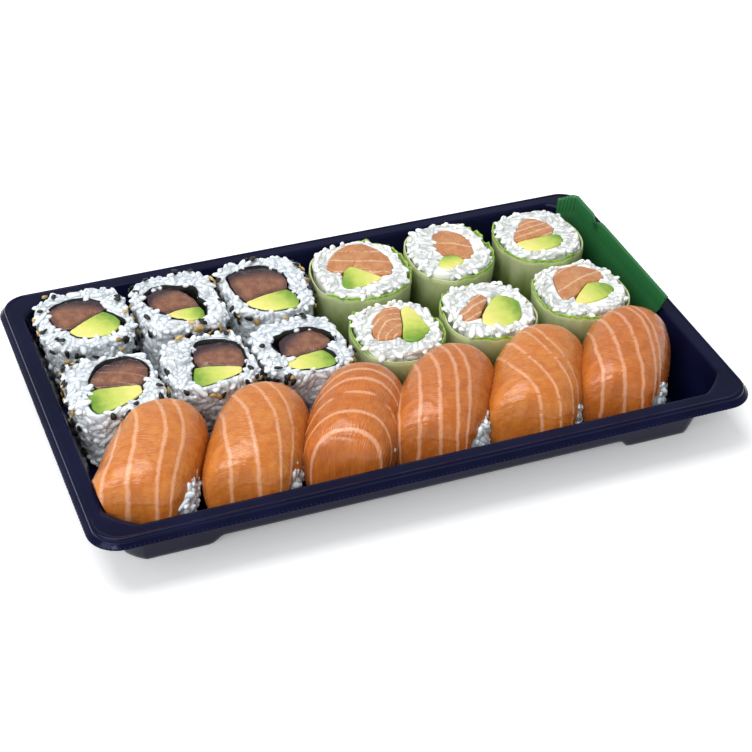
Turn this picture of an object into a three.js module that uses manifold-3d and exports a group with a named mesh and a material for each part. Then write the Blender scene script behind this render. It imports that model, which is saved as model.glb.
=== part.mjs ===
// A takeaway sushi tray: a thermoformed plastic tray on four corner feet, filled with six inside-out
// rolls, six wrapped rolls and six salmon nigiri, with a leaf-green sheet in its back right corner.
// Millimetres, +Z up. The origin is in the middle of the tray, on the surface its feet stand on.
import * as THREE from 'three';
import { mergeVertices } from 'three/addons/utils/BufferGeometryUtils.js';
import Module from 'manifold-3d';

const wasm = await Module();
wasm.setup();

// The tray
const RIM_LENGTH = 236; // the rim's flat top, edge to edge
const RIM_WIDTH = 146;
const RIM_CORNER = 9; // radius of the rim's corners
const TRAY_HEIGHT = 22.5; // from the feet to the top of the rim
const SHEET = 0.6; // thickness of the formed plastic
const FLANGE = 5.2; // width of the rim's flat top, over the outside of the wall
const WALL_DRAFT = 0.33; // how far the walls lean in for each millimetre down
const POCKET_CORNER = 10; // leg of the flattened corners of the pocket, at the rim
const SKIRT_FLARE = 2; // how far the skirt stands out past the rim's top
const SKIRT_DROP = 2.9;
const FLOOR_FILLET = 1;
const FOOT_HEIGHT = 4;
const FOOT_LENGTH = 30;
const FOOT_CORNER = 7;

// The food
const GAP = 0.3; // between neighbouring pieces
const WALL_CLEARANCE = 1.3; // between the food and the walls, with room for the green sheet
const ROLL_TOP = TRAY_HEIGHT + 4.5;
const ROLL_EDGE = 1.4; // how much a roll's edges are rounded off
const WRAPPER = 0.9; // thickness of the wrapper
const SEAWEED_ROOM = 0.8; // left between an inside-out roll's rice and its filling for the seaweed
const NIGIRI_TOP = TRAY_HEIGHT + 11.8;
const SLICE_GAP = 0.8; // between a nigiri's slice and its rice, whose facets differ

// The green sheet
const LEAF_SHEET = 0.45; // its thickness
const LEAF_FOOT = 7.6; // where its lower edge stands
const LEAF_TOP = TRAY_HEIGHT + 7.2;
const LEAF_FRONT = -9; // where its front edge starts, at its foot
const LEAF_SLANT = -9; // how far forward the front edge runs as it rises
const LEAF_LEAN = 0.1; // how it leans out above the rim
const LEAF_TURN_POINTS = 4; // points of the corner that it turns through

// How finely the round shapes are divided
const CORNER_STEPS = 5;
const ROLL_STEPS = 18;
const FILLING_STEPS = 12;
const SLICE_STEPS = { along: 9, across: 7 };
const BLOCK_STEPS = { along: 7, round: 10 };

const FLOOR = FOOT_HEIGHT + SHEET;
const FOOD_BASE = FLOOR + GAP;

const finishes = {
  tray: new THREE.MeshStandardMaterial({ color: 0x1b1c2b, roughness: 0.25, metalness: 0 }),
  leaf: new THREE.MeshStandardMaterial({ color: 0x2f7a3c, roughness: 0.45, metalness: 0 }),
  rice: new THREE.MeshStandardMaterial({ color: 0xe6ebe9, roughness: 0.6, metalness: 0 }),
  wrapper: new THREE.MeshStandardMaterial({ color: 0xb9c592, roughness: 0.4, metalness: 0 }),
  avocado: new THREE.MeshStandardMaterial({ color: 0xc7d65c, roughness: 0.45, metalness: 0 }),
  salmon: new THREE.MeshStandardMaterial({ color: 0xe08a4a, roughness: 0.35, metalness: 0 }),
  rollSalmon: new THREE.MeshStandardMaterial({ color: 0x9a6350, roughness: 0.4, metalness: 0 }),
};

const sushiTray = new THREE.Group();

/** Adds one named piece to the tray. */
function add(name, geometry, material) {
  const mesh = new THREE.Mesh(geometry, material);
  mesh.name = name;
  sushiTray.add(mesh);
}

// ---------------------------------------------------------------- solids

/** A closed mesh made into a solid that can be joined and cut. */
function toSolid(geometry) {
  const bare = geometry.clone();
  bare.deleteAttribute('normal');
  bare.deleteAttribute('uv');
  const merged = mergeVertices(bare, 1e-4);
  return new wasm.Manifold(new wasm.Mesh({
    numProp: 3,
    vertProperties: new Float32Array(merged.attributes.position.array),
    triVerts: new Uint32Array(merged.index.array),
  }));
}

/** A solid made back into a mesh. */
function toGeometry(solid) {
  const { vertProperties, triVerts } = solid.getMesh();
  const geometry = new THREE.BufferGeometry();
  geometry.setAttribute('position', new THREE.BufferAttribute(vertProperties, 3));
  geometry.setIndex(new THREE.BufferAttribute(triVerts, 1));
  geometry.computeVertexNormals();
  return geometry;
}

/** A mesh from a list of points and a list of triangles. */
function fromPoints(points, triangles) {
  const geometry = new THREE.BufferGeometry();
  geometry.setAttribute('position', new THREE.Float32BufferAttribute(points.flatMap((p) => [...p]), 3));
  geometry.setIndex(triangles);
  geometry.computeVertexNormals();
  return geometry;
}

/** Joins loops of as many points each, one after another, and closes the first and the last. */
function loft(loops) {
  const count = loops[0].length;
  const points = loops.flat();
  const triangles = [];
  for (let level = 0; level < loops.length - 1; level += 1) {
    for (let i = 0; i < count; i += 1) {
      const a = level * count + i;
      const b = level * count + ((i + 1) % count);
      triangles.push(a, b, b + count, a, b + count, a + count);
    }
  }
  const first = points.push(middle(loops[0])) - 1;
  const last = points.push(middle(loops.at(-1))) - 1;
  const top = (loops.length - 1) * count;
  for (let i = 0; i < count; i += 1) {
    const next = (i + 1) % count;
    triangles.push(first, next, i, last, top + i, top + next);
  }
  return fromPoints(points, triangles);
}

/**
 * A thin wall between two grids of points: the outside, whose rows and columns run anticlockwise
 * seen from outside, and the inside, closed all round its edge.
 */
function shell(outside, inside) {
  const rows = outside.length;
  const columns = outside[0].length;
  const size = rows * columns;
  const index = (i, j) => i * columns + j;
  const triangles = [];
  const quad = (a, b, c, d) => triangles.push(a, b, c, a, c, d);
  const rim = (p, q) => quad(q, p, p + size, q + size);
  for (let i = 0; i < rows - 1; i += 1) {
    for (let j = 0; j < columns - 1; j += 1) {
      const corners = [index(i, j), index(i, j + 1), index(i + 1, j + 1), index(i + 1, j)];
      quad(...corners);
      quad(...corners.map((corner) => corner + size).toReversed());
    }
    rim(index(i, columns - 1), index(i + 1, columns - 1));
    rim(index(i + 1, 0), index(i, 0));
  }
  for (let j = 0; j < columns - 1; j += 1) {
    rim(index(0, j), index(0, j + 1));
    rim(index(rows - 1, j + 1), index(rows - 1, j));
  }
  return fromPoints([...outside.flat(), ...inside.flat()], triangles);
}

/** The mean of a loop's points. */
function middle(loop) {
  const sum = loop.reduce((total, point) => total.add(point), new THREE.Vector3());
  return sum.divideScalar(loop.length);
}

/** A loop lifted to a height. */
const at = (loop, z) => loop.map((point) => new THREE.Vector3(point.x, point.y, z));

/** An anticlockwise loop moved out, or in where the distance is negative, along its own normals. */
function grow(loop, distance) {
  return loop.map((point, i) => {
    const before = loop[(i + loop.length - 1) % loop.length];
    const after = loop[(i + 1) % loop.length];
    const along = new THREE.Vector3().subVectors(after, before).setZ(0).normalize();
    return new THREE.Vector3(point.x + along.y * distance, point.y - along.x * distance, point.z);
  });
}

/** An upright prism on a loop. */
const prism = (loop, bottom, top) => toSolid(loft([at(loop, bottom), at(loop, top)]));

// ---------------------------------------------------------------- tray

/** How far the wall's outside stands in from the rim's edge at a height. */
const wallInset = (z) => FLANGE + WALL_DRAFT * (TRAY_HEIGHT - z);

/** The leg of the pocket's flattened corner where its wall stands in by an inset. */
const pocketCorner = (inset) => POCKET_CORNER - (2 - Math.SQRT2) * (inset - FLANGE);

/**
 * One loop of the tray: a rectangle inset from the rim's edge, whose corners are arcs of a radius,
 * or, as flatten goes to 1, straight chamfers.
 */
function trayLoop(inset, z, radius, flatten) {
  const halfX = RIM_LENGTH / 2 - inset;
  const halfY = RIM_WIDTH / 2 - inset;
  return roundedLoop(-halfX, halfX, -halfY, halfY, z, radius, flatten);
}

/** An anticlockwise rectangle with rounded or flattened corners, from its back right corner on. */
function roundedLoop(left, right, front, back, z, radius, flatten) {
  const corners = [
    { x: right - radius, y: back - radius, turn: 0 },
    { x: left + radius, y: back - radius, turn: 1 },
    { x: left + radius, y: front + radius, turn: 2 },
    { x: right - radius, y: front + radius, turn: 3 },
  ];
  return corners.flatMap(({ x, y, turn }) => Array.from({ length: CORNER_STEPS + 1 }, (_, i) => {
    const share = i / CORNER_STEPS;
    const angle = (share * Math.PI) / 2;
    const offset = new THREE.Vector3(Math.cos(angle), Math.sin(angle), 0)
      .lerp(new THREE.Vector3(1 - share, share, 0), flatten)
      .multiplyScalar(radius)
      .applyAxisAngle(new THREE.Vector3(0, 0, 1), (turn * Math.PI) / 2);
    return new THREE.Vector3(x, y, z).add(offset);
  }));
}

/** The wall's loop at a height: its outside, or its inside where the sheet's thickness is given. */
function wallLoop(z, thickness = 0) {
  const inset = wallInset(z) + thickness;
  return trayLoop(inset, z, pocketCorner(inset), 0.75);
}

/** One foot under a corner of the tray, given by the signs of the corner's x and y. */
function foot(signX, signY, bottom, top, wall) {
  const loops = [bottom, top].map((z) => {
    const outerX = RIM_LENGTH / 2 - wallInset(z) - wall;
    const outerY = RIM_WIDTH / 2 - wallInset(z) - wall;
    const length = FOOT_LENGTH + 2 * WALL_DRAFT * z - 2 * wall;
    const [x1, x2] = [signX * outerX, signX * (outerX - length)].sort((a, b) => a - b);
    const [y1, y2] = [signY * outerY, signY * (outerY - length)].sort((a, b) => a - b);
    return roundedLoop(x1, x2, y1, y2, z, FOOT_CORNER - wall, 0.3);
  });
  return toSolid(loft(loops));
}

/** The formed sheet: up the outside, round the rim and its skirt, and down the inside to the floor. */
function tray() {
  const top = TRAY_HEIGHT;
  const inner = SHEET * Math.hypot(1, WALL_DRAFT);
  const floorInset = wallInset(FLOOR) + inner + FLOOR_FILLET;
  const skirt = (inset, z) => trayLoop(inset, z, RIM_CORNER - inset, 0);
  const rim = (inset, z) => trayLoop(inset, z, RIM_CORNER, 0);
  let solid = toSolid(loft([
    trayLoop(wallInset(FOOT_HEIGHT) + FLOOR_FILLET, FOOT_HEIGHT, pocketCorner(floorInset), 0.75),
    wallLoop(FOOT_HEIGHT + FLOOR_FILLET),
    wallLoop(top - SHEET),
    rim(SHEET, top - SHEET),
    skirt(SHEET, top - 1.2),
    skirt(SHEET - SKIRT_FLARE, top - SKIRT_DROP),
    skirt(-SKIRT_FLARE, top - SKIRT_DROP),
    skirt(-0.5, top - 1.4),
    skirt(0, top - 1.2),
    rim(0, top - 0.35),
    rim(0.35, top),
    trayLoop(FLANGE + inner - 0.5, top, POCKET_CORNER, 0.7),
    wallLoop(top - 1, inner),
    wallLoop(FLOOR + FLOOR_FILLET, inner),
    trayLoop(floorInset, FLOOR, pocketCorner(floorInset), 0.75),
  ]));
  const corners = [[1, 1], [-1, 1], [-1, -1], [1, -1]];
  for (const [signX, signY] of corners) {
    solid = solid.add(foot(signX, signY, 0, FLOOR - SHEET / 2, 0));
  }
  for (const [signX, signY] of corners) {
    solid = solid.subtract(foot(signX, signY, SHEET, FLOOR + SHEET / 2, SHEET + 0.3));
  }
  return toGeometry(solid);
}

/** The room for food in the tray, clear of the walls, and as tall as needed. */
function pocket() {
  const loop = (z, extra) => {
    const inset = wallInset(z) + SHEET + WALL_CLEARANCE + extra;
    return trayLoop(inset, z, pocketCorner(inset), 0.75);
  };
  const ceiling = 2 * TRAY_HEIGHT;
  return toSolid(loft([loop(FOOD_BASE, FLOOR_FILLET), loop(FOOD_BASE + 2, 0), loop(ceiling, 0)]));
}

const room = pocket();

// ---------------------------------------------------------------- green sheet

/** The thin sheet that stands against the right wall, taller than the rim, and into the back corner. */
function leafSheet() {
  const inner = SHEET * Math.hypot(1, WALL_DRAFT);
  const layer = (lift) => [LEAF_FOOT, TRAY_HEIGHT, LEAF_TOP].map((z) => {
    const overhang = LEAF_LEAN * Math.max(z - TRAY_HEIGHT, 0);
    const inset = wallInset(Math.min(z, TRAY_HEIGHT)) + inner + lift - overhang;
    const turn = trayLoop(inset, z, pocketCorner(inset), 0.75).slice(0, LEAF_TURN_POINTS);
    const rise = (z - LEAF_FOOT) / (LEAF_TOP - LEAF_FOOT);
    return [turn[0].clone().setY(LEAF_FRONT + LEAF_SLANT * rise), ...turn];
  });
  return shell(layer(GAP), layer(GAP + LEAF_SHEET));
}

// ---------------------------------------------------------------- rolls

/** A roll's outline: a superellipse with shallow dents, anticlockwise from the right. */
function rollOutline({ x, y, halfX, halfY, square, dents }) {
  return Array.from({ length: ROLL_STEPS }, (_, i) => {
    const angle = (i / ROLL_STEPS) * 2 * Math.PI;
    const [c, s] = [Math.cos(angle), Math.sin(angle)];
    const reach = (Math.abs(c) ** square + Math.abs(s) ** square) ** (-1 / square);
    const dent = 1 - 0.02 * (1 + Math.sin(3 * angle + dents) * Math.cos(2 * angle - dents));
    return new THREE.Vector3(x + halfX * c * reach * dent, y + halfY * s * reach * dent, 0);
  });
}

/** A filling's outline: a smooth closed curve through corners given from the roll's middle. */
function fillingOutline({ x, y }, corners) {
  const points = corners.map(([dx, dy]) => new THREE.Vector3(x + dx, y + dy, 0));
  const curve = new THREE.CatmullRomCurve3(points, true, 'catmullrom', 0.3);
  return curve.getSpacedPoints(FILLING_STEPS).slice(0, FILLING_STEPS);
}

/** An upright block on an outline, a little narrower at its foot, with its top edge rounded off. */
function block(loop, top) {
  return toSolid(loft([
    at(grow(loop, -ROLL_EDGE), FOOD_BASE),
    at(loop, top - ROLL_EDGE),
    at(grow(loop, -ROLL_EDGE), top),
  ])).intersect(room);
}

/** The salmon and the avocado in a roll, and the tunnel that they need through the rice. */
function filling(name, roll, clearance, salmonFinish) {
  const top = ROLL_TOP + roll.proud;
  const salmon = fillingOutline(roll, roll.salmon);
  const avocado = fillingOutline(roll, roll.avocado);
  const fish = prism(salmon, FOOD_BASE, top).subtract(prism(grow(avocado, GAP), 0, 2 * top));
  add(`${name}_salmon`, toGeometry(fish), salmonFinish);
  add(`${name}_avocado`, toGeometry(prism(avocado, FOOD_BASE, top)), finishes.avocado);
  return prism(grow(salmon, clearance), 0, 2 * top)
    .add(prism(grow(avocado, clearance), 0, 2 * top));
}

/** A roll with its rice outside. */
function insideOutRoll(name, roll) {
  const tunnel = filling(name, roll, SEAWEED_ROOM, finishes.rollSalmon);
  const rice = block(rollOutline(roll), ROLL_TOP).subtract(tunnel);
  add(`${name}_rice`, toGeometry(rice), finishes.rice);
}

/** A roll in a thin leaf wrapper. */
function wrappedRoll(name, roll) {
  const tunnel = filling(name, roll, GAP, finishes.salmon);
  const outside = rollOutline(roll);
  const rice = block(grow(outside, -WRAPPER - GAP), ROLL_TOP).subtract(tunnel);
  add(`${name}_rice`, toGeometry(rice), finishes.rice);
  const hollow = toSolid(loft([
    at(grow(outside, -WRAPPER - 1.3 * ROLL_EDGE), 0),
    at(grow(outside, -WRAPPER), ROLL_TOP - ROLL_EDGE),
    at(grow(outside, -WRAPPER), 2 * ROLL_TOP),
  ]));
  add(`${name}_wrapper`, toGeometry(block(outside, ROLL_TOP - 0.6).subtract(hollow)), finishes.wrapper);
}

// Each roll's middle and half sizes, how square it is, the phase of its dents and how far its
// filling stands proud, then the corners of its salmon and of its avocado from its middle.
const INSIDE_OUT_ROLLS = [
  {
    x: -92.5, y: 44.2, halfX: 17.3, halfY: 19.2, square: 3, dents: 0.4, proud: 0.2,
    salmon: [[8.5, 3], [6.5, 10], [-3.5, 12.5], [-11, 9], [-12, 1], [-7.5, -6.2]],
    avocado: [[7.5, 2], [-7.5, -6.8], [-4.5, -11], [1, -13.4], [8, -12], [12, -7]],
  },
  {
    x: -57.8, y: 42.6, halfX: 16.6, halfY: 19.4, square: 3.2, dents: 1.6, proud: -0.4,
    salmon: [[7, -4], [4, 7], [0, 11.5], [-9, 10], [-10.5, 3], [-6.8, -5]],
    avocado: [[7, -4.5], [-2, -4], [-7.5, -6.5], [-2, -10.5], [5, -13.8], [7.4, -10]],
  },
  {
    x: -24.2, y: 42.4, halfX: 16.6, halfY: 20, square: 3, dents: 2.9, proud: 0.3,
    salmon: [[7, -4.6], [8.6, 5], [3.5, 11.5], [-5.5, 12.6], [-11.5, 10.5], [-12, 2], [-10, -7.6]],
    avocado: [[6.8, -5], [-10.2, -8], [-7, -14.5], [0, -17], [7.8, -16.8], [8.8, -12]],
  },
  {
    x: -92.6, y: 1.6, halfX: 17.4, halfY: 17.8, square: 3.2, dents: 4.1, proud: 0,
    salmon: [[8.8, -2.8], [13.6, 4.2], [11, 12.7], [4.5, 14], [-3.5, 11], [-8.4, 1.2]],
    avocado: [[8.6, -3.2], [-8.6, -0.4], [-10.6, -7.8], [-10, -15], [0, -12.1], [7.6, -8.2]],
  },
  {
    x: -58.2, y: 3.4, halfX: 16.5, halfY: 17, square: 3.4, dents: 5.2, proud: -0.2,
    salmon: [[11, -6.2], [13.4, 1.8], [12, 9.2], [5, 11], [-2, 10.8], [-4.6, -1.2]],
    avocado: [[10.6, -6.2], [-4.6, -1], [-7.6, -7.2], [-8.8, -13.2], [-1, -12.4], [9.4, -9.6]],
  },
  {
    x: -24, y: 1.6, halfX: 17.2, halfY: 18.2, square: 3, dents: 0.9, proud: -0.5,
    salmon: [[10, -2.6], [11, 4.4], [6, 9.4], [-1, 9.8], [-6.5, 6.4], [-8, 0.4], [-7.4, -5]],
    avocado: [[8.6, -7.6], [6, -3.8], [-3.5, -5], [-10, -8.6], [-5, -13.2], [2, -15.2], [9, -14]],
  },
];

const WRAPPED_ROLLS = [
  {
    x: 13.2, y: 41.8, halfX: 19.6, halfY: 20.2, square: 2.5, dents: 0.2, proud: 0.3,
    salmon: [[9.5, -8], [13, 0], [11.5, 9], [6, 16.4], [-3.5, 15], [-12, 5], [-9, -1]],
    avocado: [[5.8, -9], [-1.2, 0], [-4.5, 3.2], [-8.2, -4], [-10.8, -10.8], [-3, -11.8]],
  },
  {
    x: 50.3, y: 42.8, halfX: 17, halfY: 20.3, square: 2.4, dents: 1.3, proud: -0.2,
    salmon: [[5.5, -8.6], [8.8, -3], [9.8, 5], [6.6, 12], [0, 14], [-3.6, 8], [-4.4, -2]],
    avocado: [[2.6, -9], [1.2, -4.4], [-4.3, -3], [-8.4, -7.4], [-5.8, -13.4], [-2, -12]],
  },
  {
    x: 87, y: 41.6, halfX: 17.8, halfY: 19.2, square: 2.4, dents: 2.4, proud: 0.2,
    salmon: [[8, 2], [5.6, 8.6], [1, 12], [-4, 8.6], [-11, -3], [4, -2.4]],
    avocado: [[8.6, -4.4], [4, -2.4], [-11, -3.8], [-7, -10.8], [0, -11.2], [6.2, -9.6]],
  },
  {
    x: 12.2, y: 0.6, halfX: 17.5, halfY: 19, square: 2.4, dents: 3.7, proud: 0.4,
    salmon: [[3.8, 3], [5.3, 11.6], [0, 13], [-5.3, 9.2], [-8.8, 2.2], [-10.2, -5], [0.3, -5]],
    avocado: [[10.8, -1], [9.4, 11.2], [5.8, 11.6], [2.8, 1.2], [-0.8, -7.8], [3.8, -10.4], [11.3, -5]],
  },
  {
    x: 48.7, y: 1.2, halfX: 18.1, halfY: 19.4, square: 2.4, dents: 4.6, proud: 0,
    salmon: [[-2.6, 0], [2.4, 6.8], [-0.8, 10.8], [-6.8, 4.4], [-12.6, -0.4], [-12.4, -5.4], [-6.8, -5.6]],
    avocado: [[12.3, 0.6], [7.2, 7.3], [2.2, 3.8], [-3.8, -3], [-6.2, -9.8], [1.4, -12], [8, -11]],
  },
  {
    x: 86.4, y: 2, halfX: 18.4, halfY: 19.4, square: 2.4, dents: 5.8, proud: 0.2,
    salmon: [[11.4, 3], [12.2, 7.4], [6.4, 13.2], [-0.6, 15], [-6.6, 10], [-9.4, -5.8], [4.4, 0]],
    avocado: [[11.9, -4.8], [9.4, 0.6], [3.4, 1.5], [-6.8, -8.8], [1.4, -10], [8.4, -8]],
  },
];

// ---------------------------------------------------------------- nigiri

// The rolls behind the nigiri, which keep the gap to them
const frontRow = [...INSIDE_OUT_ROLLS, ...WRAPPED_ROLLS]
  .filter(({ y }) => y < RIM_WIDTH / 8)
  .map((roll) => prism(grow(rollOutline(roll), GAP), 0, ROLL_TOP + GAP))
  .reduce((row, roll) => row.add(roll));

/** A number raised to a power, with its sign kept. */
const signedPower = (value, power) => Math.sign(value) * Math.abs(value) ** power;

/**
 * A point of a loaf shape: along goes from the front end to the back end and round goes from its
 * right side over the top, both in radians. The lower half is flatter and stops at the floor.
 */
function loafPoint({ halfWidth, halfLength, middleZ, top, bottom }, along, round) {
  const narrowing = Math.cos(along) ** 0.5;
  const lowering = Math.cos(along) ** 0.3;
  const height = Math.sin(round) > 0 ? top - middleZ : middleZ - bottom;
  return new THREE.Vector3(
    halfWidth * narrowing * signedPower(Math.cos(round), 0.8),
    halfLength * signedPower(Math.sin(along), 0.65),
    middleZ + height * lowering * signedPower(Math.sin(round), 0.8),
  );
}

/** The rice under a nigiri's slice: a closed loaf. */
function riceBlock(size) {
  const { along, round } = BLOCK_STEPS;
  const limit = 0.49 * Math.PI;
  const loops = Array.from({ length: along + 1 }, (_, i) => {
    const lengthwise = THREE.MathUtils.lerp(limit, -limit, i / along);
    return Array.from({ length: round }, (__, j) => (
      loafPoint(size, lengthwise, (j / round) * 2 * Math.PI)
    ));
  });
  return loft(loops);
}

/** The slice of salmon laid over the rice: the upper shell between two loaves. */
function salmonSlice(inside, outside, hang) {
  const { along, across } = SLICE_STEPS;
  const reach = 0.445 * Math.PI;
  const row = (size, lengthwise) => Array.from({ length: across + 1 }, (_, j) => {
    const round = THREE.MathUtils.lerp(-hang, Math.PI + hang, j / across);
    return loafPoint(size, lengthwise, round);
  });
  const grid = (size) => Array.from({ length: along + 1 }, (_, i) => (
    row(size, THREE.MathUtils.lerp(reach, -reach, i / along))
  ));
  return shell(grid(outside), grid(inside));
}

/** A loaf shape placed in the tray: turned, moved, and pressed against the walls and the rolls. */
function placed(geometry, { x, y, turn }) {
  geometry.rotateZ(THREE.MathUtils.degToRad(turn));
  geometry.translate(x, y, 0);
  return toSolid(geometry).intersect(room).subtract(frontRow);
}

/** One nigiri: a loaf of rice under a slice of salmon. */
function nigiri(name, { x, y, turn, width, length, lift }) {
  const top = NIGIRI_TOP + lift;
  const thickness = 5;
  const middleZ = FOOD_BASE + 0.42 * (top - FOOD_BASE);
  const rice = {
    halfWidth: width / 2 - 2.6, halfLength: length / 2 - 2.4, middleZ, top: top - thickness,
    bottom: FOOD_BASE,
  };
  const inside = {
    halfWidth: rice.halfWidth + SLICE_GAP, halfLength: rice.halfLength + SLICE_GAP, middleZ,
    top: rice.top + SLICE_GAP, bottom: FOOD_BASE - SLICE_GAP,
  };
  const outside = {
    halfWidth: width / 2, halfLength: length / 2, middleZ, top, bottom: FOOD_BASE - 2 * GAP,
  };
  add(`${name}_rice`, toGeometry(placed(riceBlock(rice), { x, y, turn })), finishes.rice);
  const slice = placed(salmonSlice(inside, outside, 0.14), { x, y, turn });
  add(`${name}_salmon`, toGeometry(slice), finishes.salmon);
}

const NIGIRI = [
  { x: -87.5, y: -39.6, turn: -20, width: 32, length: 52, lift: 1.2 },
  { x: -52, y: -40.8, turn: -20, width: 32, length: 50, lift: 0.2 },
  { x: -17.2, y: -41, turn: -24, width: 31.6, length: 50.5, lift: 0 },
  { x: 17.8, y: -41.2, turn: -24, width: 31.6, length: 50, lift: 0 },
  { x: 53, y: -41, turn: -24, width: 31.6, length: 50, lift: 0 },
  { x: 87.4, y: -40.4, turn: -26, width: 31, length: 50, lift: -0.4 },
];

// ---------------------------------------------------------------- the whole

add('tray', tray(), finishes.tray);
add('leaf_sheet', leafSheet(), finishes.leaf);
INSIDE_OUT_ROLLS.forEach((roll, i) => insideOutRoll(`inside_out_${i + 1}`, roll));
WRAPPED_ROLLS.forEach((roll, i) => wrappedRoll(`wrapped_${i + 1}`, roll));
NIGIRI.forEach((place, i) => nigiri(`nigiri_${i + 1}`, place));

export default sushiTray;
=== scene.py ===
"""A takeaway sushi tray: the finished surfaces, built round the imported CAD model.

The tray is 240 mm by 150 mm and holds six inside-out rolls, six wrapped rolls and six salmon nigiri.
Every shape is worked out in millimetres from the CAD nodes' own sections, and put into its mesh in
metres. +X runs along the tray to the green divider, +Y to the back, +Z up.
"""
import logging
import math
from dataclasses import dataclass, field
from enum import Enum
from typing import Sequence

import bpy
import numpy as np
from mathutils import Matrix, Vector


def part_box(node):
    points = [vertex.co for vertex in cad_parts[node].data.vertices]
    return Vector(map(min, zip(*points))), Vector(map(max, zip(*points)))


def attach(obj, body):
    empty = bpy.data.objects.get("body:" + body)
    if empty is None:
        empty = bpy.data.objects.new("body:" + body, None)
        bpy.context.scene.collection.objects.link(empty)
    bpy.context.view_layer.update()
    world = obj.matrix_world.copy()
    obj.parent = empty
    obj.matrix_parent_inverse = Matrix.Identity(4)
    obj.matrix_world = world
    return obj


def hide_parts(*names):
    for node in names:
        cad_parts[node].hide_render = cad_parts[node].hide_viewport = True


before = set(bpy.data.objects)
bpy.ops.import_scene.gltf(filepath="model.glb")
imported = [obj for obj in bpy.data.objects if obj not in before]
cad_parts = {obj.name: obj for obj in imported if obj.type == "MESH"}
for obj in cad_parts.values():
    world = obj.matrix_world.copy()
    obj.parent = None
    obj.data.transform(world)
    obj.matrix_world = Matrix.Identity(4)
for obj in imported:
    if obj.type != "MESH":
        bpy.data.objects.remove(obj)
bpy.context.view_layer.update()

Array = np.ndarray
Tree = bpy.types.NodeTree
LOG = logging.getLogger("sushi_tray")

MM = 0.001
BODY = "root"
COLUMNS = 144
ANGLES = np.linspace(0, 2 * np.pi, COLUMNS, endpoint=False)
SPOKES = np.stack([np.cos(ANGLES), np.sin(ANGLES)], axis=-1)


# ------------------------------------------------------------------------------ arithmetic on arrays


def smooth_step(values: Array) -> Array:
    """An S-shaped step: 0 below 0, 1 above 1, and 3v² - 2v³ between."""
    share = np.clip(values, 0.0, 1.0)
    return share * share * (3 - 2 * share)


def signed_power(values: Array, power: float) -> Array:
    """Values raised to a power with their signs kept."""
    return np.sign(values) * np.abs(values) ** power


def lattice_noise(points: Array, cell: float, seed: int) -> Array:
    """Smooth noise: random values on a cubic lattice, blended between its corners by S-shaped steps.

    Args:
        points: Points in millimetres, (..., 3).
        cell: The lattice's spacing, in millimetres.
        seed: Chooses the random values.

    Returns:
        One value from -1 to 1 for each point.
    """
    table = np.random.default_rng(seed).uniform(-1, 1, 4096)
    scaled = points / cell
    low = np.floor(scaled).astype(np.int64)
    share = smooth_step(scaled - low)
    total = np.zeros(points.shape[:-1])
    for corner in np.ndindex(2, 2, 2):
        hashed = (low + corner) * np.array([73856093, 19349663, 83492791])
        index = np.bitwise_xor.reduce(hashed, axis=-1) % len(table)
        weight = np.where(np.array(corner) == 1, share, 1 - share).prod(axis=-1)
        total += weight * table[index]
    return total


def round_smooth(radii: Array, width: float) -> Array:
    """Smooths a closed row of radii with a bell curve whose width is given in points.

    Args:
        radii: The closed row.
        width: The bell curve's width, in points.

    Returns:
        The smoothed row.
    """
    steps = np.minimum(np.arange(len(radii)), len(radii) - np.arange(len(radii)))
    bell = np.exp(-0.5 * (steps / width) ** 2)
    bell /= bell.sum()
    return np.fft.irfft(np.fft.rfft(radii) * np.fft.rfft(bell), len(radii))


def unit(vectors: Array) -> Array:
    """Vectors brought to length 1."""
    return vectors / np.maximum(np.linalg.norm(vectors, axis=-1, keepdims=True), 1e-12)


# ------------------------------------------------------------------------------ sections of CAD nodes


def triangles_of(node: str) -> Array:
    """A CAD node's triangles in millimetres, (count, 3, 3).

    Args:
        node: The node's name.

    Returns:
        The triangles' corners, (count, 3, 3).
    """
    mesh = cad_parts[node].data
    points = np.empty(len(mesh.vertices) * 3)
    mesh.vertices.foreach_get("co", points)
    mesh.calc_loop_triangles()
    corners = np.empty(len(mesh.loop_triangles) * 3, np.int32)
    mesh.loop_triangles.foreach_get("vertices", corners)
    return points.reshape(-1, 3)[corners.reshape(-1, 3)] / MM


def section(nodes: Sequence[str], height: float) -> Array:
    """Where the surfaces of CAD nodes cross a level, as segments.

    Args:
        nodes: Node names.
        height: The level in millimetres.

    Returns:
        Segments in plan, (count, 2, 2).
    """
    starts = np.concatenate([triangles_of(node) for node in nodes])
    ends = np.roll(starts, -1, axis=1)
    crossing = (starts[..., 2] > height) != (ends[..., 2] > height)
    rise = np.where(crossing, ends[..., 2] - starts[..., 2], 1.0)
    share = (height - starts[..., 2]) / rise
    points = starts[..., :2] + share[..., None] * (ends - starts)[..., :2]
    cut = crossing.sum(axis=1) == 2
    return points[cut][crossing[cut]].reshape(-1, 2, 2)


def cross_2d(first: Array, second: Array) -> Array:
    """The cross product of vectors in a plane."""
    return first[..., 0] * second[..., 1] - first[..., 1] * second[..., 0]


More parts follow.
